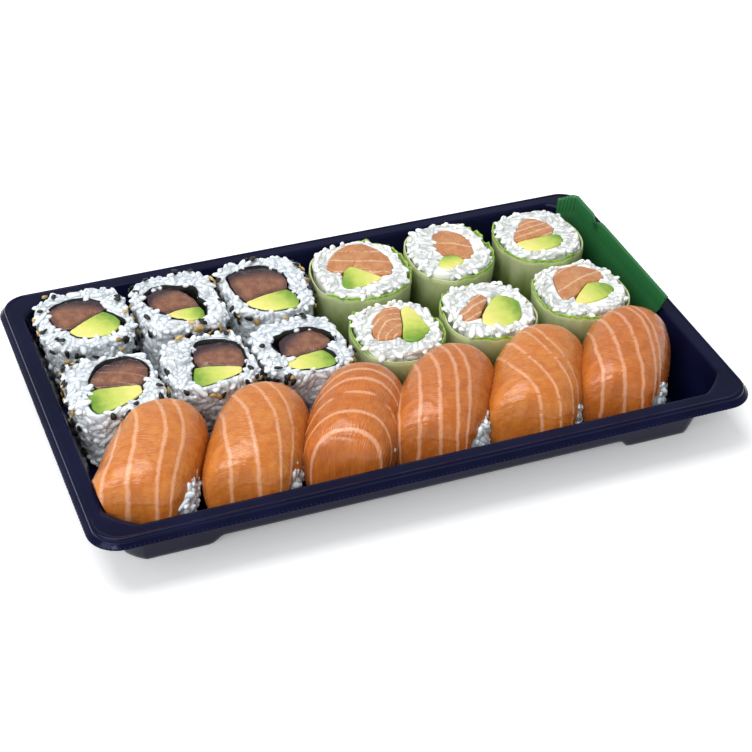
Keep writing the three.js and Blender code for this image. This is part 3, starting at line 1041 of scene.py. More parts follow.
@dataclass
class Tray:
    """The thermoformed tray: one sheet up its skirt, over its rim, and down to its floor and feet.

    Lengths are in millimetres, the draft is a slope, and the shares of flattening say how far a corner
    goes from an arc to a chamfer.
    """

    flange: float = 5.2
    draft: float = 0.33
    sheet: float = 0.6
    flare: float = 1.8
    skirt_drop: float = 2.9
    bead_end: float = 1.8
    rim_corner: float = 9.0
    pocket_corner: float = 10.0
    pocket_flattening: float = 0.75
    wall: float = 0.7
    floor: float = 4.6
    foot_length: float = 33.0
    foot_slope: float = 5.0
    knurl_pitch: float = 1.6
    corner_points: int = 14
    side_points: tuple[int, ...] = (140, 84, 140, 84)

    def __post_init__(self) -> None:
        """Takes the tray's size from its CAD node, and lays out its loops: for each point the sign of its
        corner or its place between two corners, and the offset that an arc or a chamfer gives it."""
        low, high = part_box("tray")
        self.half = np.array([high.x - low.x, high.y - low.y]) / (2 * MM) - 2.0
        self.top = high.z / MM
        corner = np.linspace(0, np.pi / 2, self.corner_points)
        arc = np.stack([np.cos(corner), np.sin(corner)], axis=-1)
        share = np.linspace(0, 1, self.corner_points)
        chamfer = np.stack([1 - share, share], axis=-1)
        anchors, arcs, chamfers = [], [], []
        for turn, count in enumerate(self.side_points):
            cos, sin = round(math.cos(turn * math.pi / 2)), round(math.sin(turn * math.pi / 2))
            rotation = np.array([[cos, -sin], [sin, cos]])
            sign = rotation @ np.array([1.0, 1.0])
            following = rotation @ np.array([-1.0, 1.0])
            anchors.append(np.broadcast_to(sign, (self.corner_points, 2)))
            arcs.append(arc @ rotation.T)
            chamfers.append(chamfer @ rotation.T)
            run = np.linspace(0, 1, count + 2)[1:-1, None]
            anchors.append(sign + run * (following - sign))
            arcs.append(np.broadcast_to(arcs[-1][-1], (count, 2)))
            chamfers.append(arcs[-1])
        self.anchors = np.concatenate(anchors)
        self.arcs = np.concatenate(arcs)
        self.chamfers = np.concatenate(chamfers)

    def inset(self, height: Array | float) -> Array:
        """How far the wall's inside stands in from the rim's edge at a height."""
        return self.flange + self.draft * (self.top - height) + self.sheet * math.hypot(1, self.draft)

    def loop(self, inset: Array, height: Array, radius: Array, flatten: float) -> Array:
        """One loop of the tray: each point is its anchor on the rectangle inset by a distance and the
        corner's radius, plus the radius times a point between an arc and a chamfer.

        Args:
            inset: How far in from the rim's edge, for all points or for each.
            height: The height, for all points or for each.
            radius: The corner's radius or leg, for all points or for each.
            flatten: 0 for an arc, 1 for a chamfer, or between.

        Returns:
            The loop's points, (count, 3).
        """
        count = len(self.anchors)
        inset, height, radius = (np.broadcast_to(v, count)[:, None] for v in (inset, height, radius))
        corner = self.arcs + flatten * (self.chamfers - self.arcs)
        flat = self.anchors * (self.half - inset - radius) + radius * corner
        return np.concatenate([flat, height], axis=1)

    def pocket_radius(self, inset: Array) -> Array:
        """The leg of the pocket's corner at an inset."""
        return np.maximum(self.pocket_corner - 0.586 * (inset - self.flange), 0.6)

    def pocket_loop(self, inset: Array | float, height: Array | float) -> Array:
        """One loop of the pocket, whose flattened corners shrink downwards."""
        return self.loop(inset, height, self.pocket_radius(inset), self.pocket_flattening)

    def foot(self, points: Array) -> Array:
        """How far down into a foot each point of the floor lies, from 0 to 1.

        Args:
            points: Points in millimetres.

        Returns:
            One share for each point.
        """
        outer = self.half - self.inset(self.floor)
        inward = (np.abs(points[:, :2]) - (outer - self.foot_length)) / self.foot_slope
        return smooth_step(inward[:, 0]) * smooth_step(inward[:, 1])

    def rim_rows(self) -> list[Array]:
        """The loops from the skirt's lower edge, over the step and the bead, to the pocket's edge.

        Returns:
            The loops, outermost first.
        """
        top = self.top
        skirt = [(-self.flare, -self.skirt_drop), (-self.flare + 0.1, -2.75), (-1.2, -2.15)]
        step = [(-0.55, -1.5), (-0.4, -1.36), (-0.08, -1.28), (0.0, -1.2), (0.0, -0.35)]
        bead = [(0.1, -0.08), (0.35, 0.12), (0.75, 0.2), (1.15, 0.12), (1.4, -0.02), (self.bead_end, 0.0)]
        rows = []
        for inset, rise in skirt + step + bead:
            rows.append(self.loop(inset, top + rise, self.rim_corner - min(inset, 0.0), 0.0))
        edge = self.inset(top)
        for share in (0.25, 0.5, 0.75, 0.92):
            inset = self.bead_end + share * (edge - 0.5 - self.bead_end)
            rows.append(self.loop(inset, top, self.rim_corner + share, 0.7 * share))
        rows.append(self.loop(edge - 0.18, top - 0.12, self.pocket_corner, 0.72))
        rows.append(self.loop(edge, top - 0.4, self.pocket_corner, 0.74))
        return rows

    def pocket_rows(self) -> list[Array]:
        """The loops down the wall, round into the floor or a foot, and in over the floor.

        Returns:
            The loops, highest first.
        """
        edge = self.pocket_loop(self.inset(self.floor), self.floor)
        bottom = self.floor - (self.floor - self.sheet) * self.foot(edge)
        rows = []
        for share in np.linspace(0.05, 1, 16):
            height = self.top - 0.5 - share * (self.top - 1.5 - bottom)
            rows.append(self.pocket_loop(self.inset(height), height))
        fillet = self.inset(bottom + 1) + 0.3
        rows.append(self.pocket_loop(fillet, bottom + 0.3))
        for extra in (*np.linspace(1.0, 36, 26), 46, 56):
            flat = self.pocket_loop(fillet + extra, 0.0)
            flat[:, 2] = self.floor - (self.floor - self.sheet) * self.foot(flat)
            rows.append(flat)
        return rows

    def build(self) -> None:
        """Makes the shell, and the knurled lower edge of its skirt."""
        rows = np.array(self.rim_rows() + self.pocket_rows())
        index = np.arange(rows.shape[0] * rows.shape[1]).reshape(rows.shape[:2])
        points = np.concatenate([rows.reshape(-1, 3), [[0, 0, self.floor]]])
        last = index[-1]
        fan = np.column_stack([np.full(len(last), len(points) - 1), last, np.roll(last, -1)])
        quads = grid_quads(index, False, True)
        surface = Surface(points, [quads, fan])
        shell = piece(surface, "tray_shell", MouldedPolystyrene(), ["tray"])
        thickness = shell.modifiers.new("sheet", "SOLIDIFY")
        thickness.thickness = self.sheet * MM
        thickness.offset = -1
        self.knurl()

    def knurl(self) -> None:
        """The small upright ribs along the skirt's lower edge, spaced by their pitch."""
        path = self.loop(-self.flare + 0.25, self.top - 2.55, self.rim_corner + self.flare, 0.0)
        path = np.concatenate([path, path[:1]])
        lengths = np.concatenate([[0], np.cumsum(np.linalg.norm(np.diff(path, axis=0), axis=1))])
        marks = np.arange(0, lengths[-1], self.knurl_pitch)
        points = np.stack([np.interp(marks, lengths, path[:, axis]) for axis in range(3)], axis=-1)
        tangent = unit(np.roll(points, -1, axis=0) - np.roll(points, 1, axis=0))
        outward = np.cross(tangent, [0, 0, 1.0])
        down = unit(outward * 0.75 + np.array([0, 0, -0.8]))
        rib = Seed(length=1.15, width=0.75, thickness=0.5)
        spots = Spots(points, np.cross(down, tangent))
        flat, sunk = np.zeros(len(points)), np.full(len(points), 0.08)
        ribs = laid(rib, spots, flat, sunk, np.random.default_rng(3), lean=40 * down)
        piece(ribs, "tray_knurl", MouldedPolystyrene())

    def clamp(self, points: Array, gap: float) -> Array:
        """Points kept inside the pocket: short of its walls and flattened corners, and over its floor.

        Args:
            points: Points in millimetres, (..., 3).
            gap: How far they stay off the walls.

        Returns:
            The moved points.
        """
        points = points.copy()
        height = np.clip(points[..., 2], self.floor, self.top + 3)
        inset = self.flange + self.draft * (self.top - height) + self.wall + gap
        limit = self.half - inset[..., None]
        flat = np.clip(points[..., :2], -limit, limit)
        spare = np.abs(flat).sum(axis=-1) - (limit.sum(axis=-1) - self.pocket_radius(inset))
        flat -= np.sign(flat) * np.maximum(spare, 0)[..., None] / 2
        points[..., :2] = flat
        points[..., 2] = np.maximum(points[..., 2], self.floor + 0.1)
        return points


@dataclass
class GreenDivider:
    """The thin green sheet that stands against the right wall and turns into the back corner.

    Lengths are in millimetres. The front edge starts at the front on the foot and runs on by the slant
    as it rises, and the nick lies at the crease, counted along the wall.
    """

    tray: Tray
    thickness: float = 0.4
    foot: float = 7.6
    front: float = -9.0
    slant: float = -9.0
    lean: float = 0.1
    off_wall: float = 0.35
    rib_pitch: float = 1.5
    rib_depth: float = 0.16
    crease: float = 40.0
    nick_depth: float = 0.9
    corner_fall: float = 3.0
    columns: int = 400
    rows: int = 26

    def build(self) -> None:
        """Makes the sheet: the wall's own line, lifted along it, with ribs, a nick and a low corner."""
        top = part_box("leaf_sheet")[1].z / MM
        rise = np.linspace(0, 1, self.rows)[:, None]
        run = np.linspace(0, 1, self.columns)[None]
        height = self.foot + rise * (top - self.foot)
        below = np.minimum(height, self.tray.top)
        lean = self.lean * np.maximum(height - self.tray.top, 0)
        inset = self.tray.inset(below) + self.off_wall - lean
        radius = self.tray.pocket_radius(inset)
        front = self.front + self.slant * rise
        half_x, half_y = self.tray.half[0] - inset, self.tray.half[1] - inset
        straight = half_y - radius - front
        turn = 0.62 * radius * math.sqrt(2)
        place = run * (straight + turn)
        past = np.maximum(place - straight, 0)
        x = half_x - past / math.sqrt(2)
        y = front + np.minimum(place, straight) + past / math.sqrt(2)
        wave = np.abs(np.sin(np.pi * (y + past * 0.3) / self.rib_pitch))
        nick = np.exp(-(((y - self.crease) / 2.2) ** 2)) * smooth_step((rise - 0.72) / 0.28)
        flat = np.stack([np.full(y.shape, 5.0), y, np.broadcast_to(height, y.shape)], axis=-1)
        bowed = 0.5 * lattice_noise(flat, 24, 5) * rise
        x = x - self.rib_depth * wave - self.nick_depth * nick - np.maximum(bowed, 0)
        fall = self.corner_fall * rise * smooth_step((place - straight - turn + 7) / 7)
        grid = np.stack([x, y, height - 1.2 * nick - fall], axis=-1)
        # Painted shade: the mark "rise" darkens the film downwards and in the nick's crease, and "rib"
        # darkens its furrows.
        sheet = leaf(grid, self.thickness, {"rise": rise - 0.6 * nick, "rib": wave})
        piece(sheet, "green_divider", GreenFilm(), ["leaf_sheet"])


class Side(Enum):
    """The two kinds of roll, by what is on their outside."""

    RICE = "inside_out"
    LEAF = "wrapped"


@dataclass(frozen=True)
class Void:
    """A dark hollow beside a filling: where it lies round the filling, how wide and how deep it is."""

    angle_deg: float
    width_deg: float
    depth: float

    def growth(self) -> Array:
        """How much the hollow pushes the rice back at each of the shared angles: a bell curve."""
        away = np.angle(np.exp(1j * (ANGLES - math.radians(self.angle_deg))))
        return self.depth * np.exp(-((away / math.radians(self.width_deg)) ** 2))


@dataclass(frozen=True)
class RollLook:
    """What sets one roll apart: how its avocado ripens, its salmon's stripes, hollows and leaf edge."""

    ripe_deg: float
    stripe_deg: float = 90.0
    stripe_mm: float = 20.0
    stripe_bow: float = 0.0
    dark_deg: float | None = None
    voids: tuple[Void, ...] = ()
    brims: tuple[tuple[float, float], ...] = ()


def window(start_deg: float, end_deg: float) -> Array:
    """1 between two angles and 0 elsewhere, with soft ends of 12 degrees.

    Args:
        start_deg: The first angle.
        end_deg: The second angle, counted on from the first.

    Returns:
        One value for each of the shared angles.
    """
    middle, half = math.radians((start_deg + end_deg) / 2), math.radians((end_deg - start_deg) / 2)
    away = np.abs(np.angle(np.exp(1j * (ANGLES - middle))))
    return smooth_step((half - away) / math.radians(12) + 0.5)


@dataclass(frozen=True)
class RiceCoat:
    """How grains lie over a roll's core: their spacing and depth in millimetres, how far they keep from
    the filling, how much they stand up along the rim, and how far out and down they reach.
    """

    grain: Seed
    spacing: float
    core_inset: float
    core_relief: float
    filling_gap: float
    sink: float
    sink_spread: float
    rim_sink: float
    rim_tilt: float
    reach: float = math.inf
    depth: float = math.inf


LOOSE_COAT = RiceCoat(
    RICE_GRAIN, spacing=2.45, core_inset=0.9, core_relief=0.45, filling_gap=2.35, sink=0.4,
    sink_spread=0.2, rim_sink=0.2, rim_tilt=0.5,
)
PRESSED_COAT = RiceCoat(
    PRESSED_GRAIN, spacing=2.55, core_inset=1.1, core_relief=0.2, filling_gap=1.5, sink=0.6,
    sink_spread=0.15, rim_sink=0.0, rim_tilt=0.15, reach=0.94, depth=3.2,
)


@dataclass
class Roll:
    """One roll: rice round salmon and avocado, with seaweed between them or a leaf outside.

    Lengths are in millimetres. The squareness is how much the outline swells towards its corners, as a
    share of its radius.
    """

    side: Side
    number: int
    look: RollLook
    tray: Tray
    edge: float = 0.9
    band_mm: float = 0.45
    seaweed_mm: float = 0.5
    leaf_mm: float = 0.55
    squareness: float = 0.03
    least_rice: float = 2.8
    filling_level: float = 6.0
    highest_grain: float = 1.8

    def __post_init__(self) -> None:
        """Reads the roll's outlines from its CAD nodes, the filling's at a level under the top."""
        self.coat = LOOSE_COAT if self.side is Side.RICE else PRESSED_COAT
        self.name = f"{self.side.value}_{self.number}"
        self.rng = np.random.default_rng(100 * self.number + len(self.side.value))
        self.rice_node = f"{self.name}_rice"
        self.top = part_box(self.rice_node)[1].z / MM
        self.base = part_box(self.rice_node)[0].z / MM
        heights = np.linspace(self.base + 0.6, self.top - 2.2, 6)
        self.outside = Stack.of(self.rice_node, heights, 2.5)
        self.outside.radii = np.maximum(self.outside.radii, self.outside.radii[-1] - 2.2)
        self.outside.radii *= 1 - self.squareness * np.cos(4 * ANGLES)
        level = self.top - self.filling_level
        salmon, avocado = f"{self.name}_salmon", f"{self.name}_avocado"
        inside = reach(section([salmon, avocado], level), self.outside.centre)
        self.outside.radii = np.maximum(self.outside.radii, round_smooth(inside, 2.0) + self.least_rice)
        self.salmon = Outline.of([salmon], level, 1.3)
        self.avocado = Outline.of([avocado], level, 1.0)
        self.filling = Outline.of([salmon, avocado], level, 1.6)
        self.hollow = sum((void.growth() for void in self.look.voids), np.zeros(COLUMNS))

    def room(self, points: Array) -> Array:
        """How far points lie outside the filling and its hollows, in millimetres.

        Args:
            points: Points in millimetres, (count, 3).

        Returns:
            One distance for each point, below 0 inside the filling.
        """
        flat = points[:, :2] - self.filling.centre
        angle = np.arctan2(flat[:, 1], flat[:, 0])
        inner = np.interp(angle, ANGLES, self.filling.radii + self.hollow, period=2 * np.pi)
        return np.linalg.norm(flat, axis=1) - inner

    def nearness(self, points: Array) -> Array:
        """How near points come to the roll's outside: 0 at its middle and 1 at its outline.

        Args:
            points: Points in millimetres, (count, 3).

        Returns:
            One share for each point.
        """
        flat = points[:, :2] - self.outside.centre
        angle = np.arctan2(flat[:, 1], flat[:, 0])
        outer = np.interp(angle, ANGLES, self.outside.radii[-1], period=2 * np.pi)
        return np.linalg.norm(flat, axis=1) / outer

    def core(self) -> Surface:
        """The rice's smaller core: a ring whose rows run up the tunnel, out over the top, down the
        side and back under it, roughened by noise at the size of half a grain.

        Returns:
            The core, with the marks "paste" and "skin". The skin is 1 where grains may lie.
        """
        tunnel = self.band() - 0.1 if self.side is Side.RICE else 0.1
        shrink = -self.coat.core_inset
        rows, skin = [], []
        for height in (self.base, self.base + 8, self.top - 2, self.top - 0.8):
            rows.append(self.filling.at(height, tunnel))
            skin.append(0.0)
        inner = self.filling.at(self.top, tunnel)
        outer = self.outside.at(self.top - self.edge, shrink)
        for share in np.linspace(0.04, 0.94, 12):
            row = inner + share * (outer - inner)
            outer_fall = 0.3 * smooth_step((share - 0.8) / 0.2)
            inner_fall = 0.4 * smooth_step((0.15 - share) / 0.15)
            row[:, 2] = self.top - outer_fall - inner_fall
            rows.append(row)
            skin.append(1.0)
        for share in np.linspace(0.0, 1.0, 14):
            height = self.top - self.edge - share * (self.top - self.edge - self.base - 0.3)
            rows.append(self.outside.at(height, shrink))
            skin.append(1.0)
        rows.append(0.5 * (self.outside.at(self.base, shrink) + self.filling.at(self.base, tunnel)))
        skin.append(0.0)
        surface = ring(np.array(rows))
        relief = self.coat.core_relief * lattice_noise(surface.points, 2.1, 7)
        lumps = relief + 0.5 * lattice_noise(surface.points, 6.5, 8)
        skinned = np.repeat(np.array(skin), COLUMNS)
        away = unit(surface.points - np.append(self.outside.centre, self.top - 12))
        surface.points = self.tray.clamp(surface.points + away * (lumps * skinned)[:, None], 0.4)
        surface.marks = {"paste": np.ones(len(surface.points)), "skin": skinned}
        return surface

    def rice(self) -> Surface:
        """The grains laid over the core, flat on the faces and standing up along the rim.

        Returns:
            The core and its grains as one surface.
        """
        core = self.core()
        coat = self.coat
        skin = core.marks.pop("skin") * (core.points[:, 2] > self.top - coat.depth)
        spots = scatter(core, skin, coat.spacing, self.rng)
        below = self.top - spots.points[:, 2]
        upright = (spots.normals[:, 2] < 0.5) & (below > 0.9)
        clear = (self.room(spots.points) > coat.filling_gap) | (below > 3) | upright
        spots = spots.keep(clear & (self.nearness(spots.points) < coat.reach))
        nearness = self.nearness(spots.points)
        rim = smooth_step((nearness - 0.8) / 0.15) * (spots.points[:, 2] > self.top - 3)
        count = len(spots.points)
        lift = self.rng.normal(0, 0.08, count)
        lean = np.zeros((count, 3))
        lean[:, 2] = rim * self.rng.uniform(0, coat.rim_tilt, count)
        sink = self.rng.normal(coat.sink, coat.sink_spread, count) + coat.rim_sink * rim
        grains = laid(coat.grain, spots, lift, sink, self.rng, lean)
        grains.points = self.tray.clamp(grains.points, 0.1)
        ceiling = self.top + self.highest_grain
        over = grains.points[:, 2] > ceiling
        grains.points[over, 2] = ceiling + 0.3 * (grains.points[over, 2] - ceiling)
        return joined([core, grains])

    def lump(self, outline: Outline, top: float, crown: float, rounding: float) -> Surface:
        """A filling: a column on its outline whose top edge rounds over into a low crown.

        Args:
            outline: The column's outline.
            top: The height of its top edge.
            crown: How much higher its middle is.
            rounding: The radius of its top edge.

        Returns:
            The closed column, with the mark "rim", which is 1 at the outline and 0 in the middle.
        """
        rows, rim = [], []
        for height in (self.base + 0.4, self.base + 9, top - 3, top - rounding):
            rows.append(outline.at(height))
            rim.append(1.0)
        for angle in np.linspace(0.3, np.pi / 2, 5):
            fall, inward = rounding * (1 - math.sin(angle)), rounding * (1 - math.cos(angle))
            rows.append(outline.at(top - fall, -inward))
            rim.append(1.0)
        for share in (0.92, 0.84, 0.74, 0.62, 0.5, 0.38, 0.26, 0.14, 0.05):
            rows.append(outline.at(top + crown * (1 - share**2), -rounding * share, share))
            rim.append(share)
        grid = np.array(rows)
        bumps = 0.22 * lattice_noise(grid, 3.2, 17 + self.number) + 0.1 * lattice_noise(grid, 1.3, 18)
        grid[5:, :, 2] += bumps[5:]
        surface = capped(self.tray.clamp(grid, 1.6))
        surface.marks = {"rim": np.concatenate([np.repeat(rim, COLUMNS), [1.0, 0.0]])}
        return surface

    def salmon_piece(self) -> Surface:
        """The salmon, with stripes across it and a dark outline on the side of the seaweed.

        Returns:
            The closed piece, with the marks "fat", "edge" and "flesh".
        """
        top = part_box(f"{self.name}_salmon")[1].z / MM
        surface = self.lump(self.salmon, top - 0.1, 0.5, 0.5)
        flat = surface.points[:, :2] - self.salmon.centre
        turn = math.radians(self.look.stripe_deg)
        across = flat @ np.array([math.cos(turn), math.sin(turn)])
        along = flat @ np.array([-math.sin(turn), math.cos(turn)])
        wander = 0.8 * lattice_noise(surface.points * [1, 1, 0], 5, 40 + self.number)
        phase = (across + wander + self.look.stripe_bow * along**2) / self.look.stripe_mm
        phase = phase + (0.5 if self.look.stripe_mm > 15 else 0.0)
        fat = np.abs(phase - np.round(phase)) * self.look.stripe_mm
        rim = surface.marks.pop("rim")
        edge = smooth_step((rim - 0.72) / 0.28) * (0.8 if self.side is Side.RICE else 0.25)
        if self.look.dark_deg is not None:
            dark = math.radians(self.look.dark_deg)
            toward = flat @ np.array([math.cos(dark), math.sin(dark)]) / self.salmon.radii.mean()
            edge = np.clip(edge * 0.6 + 1.1 * smooth_step((toward + 0.1) / 1.0), 0, 1)
        flesh = np.column_stack([across, along, surface.points[:, 2]]) * MM
        surface.marks = {"fat": fat, "edge": edge, "flesh": flesh}
        return surface

    def avocado_piece(self) -> Surface:
        """The avocado, from yellow to green along its own direction.

        Returns:
            The closed piece, with the mark "ripe".
        """
        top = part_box(f"{self.name}_avocado")[1].z / MM
        surface = self.lump(self.avocado, top, 0.3, 0.6)
        turn = math.radians(self.look.ripe_deg)
        direction = np.array([math.cos(turn), math.sin(turn)])
        across = (surface.points[:, :2] - self.avocado.centre) @ direction
        span = (self.avocado.at(0.0)[:, :2] - self.avocado.centre) @ direction
        surface.marks = {"ripe": (across - span.min()) / (span.max() - span.min())}
        return surface

    def band(self) -> Array:
        """How far the seaweed's outside stands off the filling: a little, unevenly, round a hollow."""
        uneven = lattice_noise(self.filling.at(0.0), 3.2, 70 + self.number)
        return self.band_mm + 0.6 * np.maximum(uneven + 0.3, 0) + self.hollow

    def seaweed(self) -> Surface:
        """The seaweed round the filling: a thin band whose upper edge is torn a little unevenly.

        Returns:
            The closed band.
        """
        rows = []
        ragged = 0.3 * lattice_noise(self.filling.at(0.0), 2.4, 60 + self.number)
        for share in np.linspace(0, 1, 12):
            height = self.base + 0.5 + share * (self.top - self.base - 0.2) + share**4 * ragged
            rows.append(self.filling.at(height, self.band()))
        return leaf(self.tray.clamp(np.array(rows), 0.8), self.seaweed_mm, {}, close_columns=True)

    def wrapper(self) -> Surface:
        """The leaf: a thin band round the rice whose edge rises and frills within its brims.

        Returns:
            The closed band, with the marks "brim" and "lift".
        """
        node = f"{self.name}_wrapper"
        low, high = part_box(node)
        base = low.z / MM + 0.1
        top = high.z / MM
        band = Stack.of(node, np.linspace(base + 0.6, top - 2.0, 6), 2.5)
        brim = sum((window(*limits) for limits in self.look.brims), np.zeros(COLUMNS))
        frill = 0.9 * lattice_noise(band.at(top - 3), 1.9, 80 + self.number)
        rim_top = top - 0.1 + brim * (0.75 + frill) - (1 - brim) * 0.8
        rows, bright = [], []
        shares = np.concatenate([np.linspace(0, 0.86, 12), np.linspace(0.9, 1, 7)])
        for share in shares:
            height = base + share * (rim_top - base)
            level = float(np.clip(height.mean(), base + 0.6, top - 2.0))
            inward = -0.1 - 0.3 * smooth_step((share - 0.9) / 0.1)
            row = band.at(level, inward + 0.5 * brim * frill * share**8)
            row[:, 2] = height
            rows.append(row)
            bright.append(brim * smooth_step((share - 0.93) / 0.04) * (1 + 0.4 * frill))
        grid = np.array(rows)
        grid[..., :2] += 0.25 * lattice_noise(grid, 7, 81)[..., None] * unit(grid[..., :2] - band.centre)
        # The mark "lift" carries the painted shade that darkens the leaf towards its bottom.
        lift = np.broadcast_to(shares[:, None], grid.shape[:2])
        marks = {"brim": np.array(bright), "lift": lift}
        return leaf(self.tray.clamp(grid, 0.1), self.leaf_mm, marks, close_columns=True)

    def build(self) -> None:
        """Makes the roll's pieces."""
        name = self.name
        if self.side is Side.LEAF:
            rice, salmon, salmon_slot = WRAP_RICE, WRAP_SALMON, "salmon"
        else:
            rice, salmon, salmon_slot = CookedRice(), ROLL_SALMON, "roll_salmon"
        piece(self.rice(), f"rice_of_{name}", rice, [self.rice_node])
        piece(self.salmon_piece(), f"salmon_of_{name}", salmon, [f"{name}_salmon"])
        piece(self.avocado_piece(), f"avocado_of_{name}", Avocado(), [f"{name}_avocado"])
        if self.side is Side.LEAF:
            piece(self.wrapper(), f"leaf_of_{name}", SoftLeaf(), [f"{name}_wrapper"])
        else:
            piece(self.seaweed(), f"seaweed_of_{name}", PressedSeaweed())


@dataclass
class Sesame:
    """The sesame strewn on the inside-out rolls: on their sides and rims, in loose groups."""

    rolls: Sequence[Roll]
    black_each: int = 46
    golden_each: int = 12
    filling_gap: float = 2.8
    perch: float = 1.7

    def build(self) -> None:
        """Makes one piece of all black seeds and one of all golden seeds."""
        kinds = (
            ("sesame_black", BLACK_SESAME, self.black_each, 1000),
            ("sesame_golden", GOLDEN_SESAME, self.golden_each, 2000),
        )
        for name, finish, count, seed in kinds:
            rngs = [np.random.default_rng(seed + roll.number) for roll in self.rolls]
            parts = [self.on(roll, count, rng) for roll, rng in zip(self.rolls, rngs)]
            piece(joined(parts), name, finish)

    def on(self, roll: Roll, count: int, rng: np.random.Generator) -> Surface:
        """Seeds on one roll: spots on its core's side and rim, kept where a coarse noise is high.

        Args:
            roll: The roll.
            count: How many seeds there are.
            rng: Draws the random numbers.

        Returns:
            The seeds as one surface.
        """
        core = roll.core()
        spots = scatter(core, core.marks["skin"], 1.1, rng)
        spots = spots.keep(roll.room(spots.points) > self.filling_gap)
        nearness = roll.nearness(spots.points)
        depth = roll.top - spots.points[:, 2]
        side = (spots.normals[:, 2] < 0.5) & (depth < 14) & (nearness > 0.75)
        rim = (spots.normals[:, 2] >= 0.5) & (nearness > 0.82)
        groups = 0.35 * lattice_noise(spots.points, 5.0, 200 + roll.number)
        groups = groups + rng.normal(0, 0.3, len(nearness))
        score = np.where(side, 0.5 - 0.02 * depth, 0.0) + np.where(rim, 0.4, 0.0) + groups
        score = score - 2.0 * ~(side | rim)
        picked = spots.keep(np.argsort(score)[::-1][:count])
        lift, sink = rng.normal(0, 0.12, count), rng.normal(-self.perch, 0.15, count)
        seeds = laid(SESAME_SEED, picked, lift, sink, rng)
        seeds.points = roll.tray.clamp(seeds.points, 0.0)
        return seeds


class Cut(Enum):
    """Which way a slice's fat lines run."""

    LENGTHWISE = "lengthwise"
    CROSSWISE = "crosswise"


@dataclass(frozen=True)
class SliceLook:
    """What sets one nigiri's slice apart: its fat lines in millimetres, its cut, and its shape."""

    lines: tuple[float, ...]
    cut: Cut = Cut.LENGTHWISE
    line_turn_deg: float = 0.0
    line_bow: float = 0.01
    skew: float = 0.15
    bare_right: float = 0.35
    flare_left: float = 0.0
    torn: bool = False
    line_mm: float = 0.0
    finish: RawSalmon = RawSalmon()


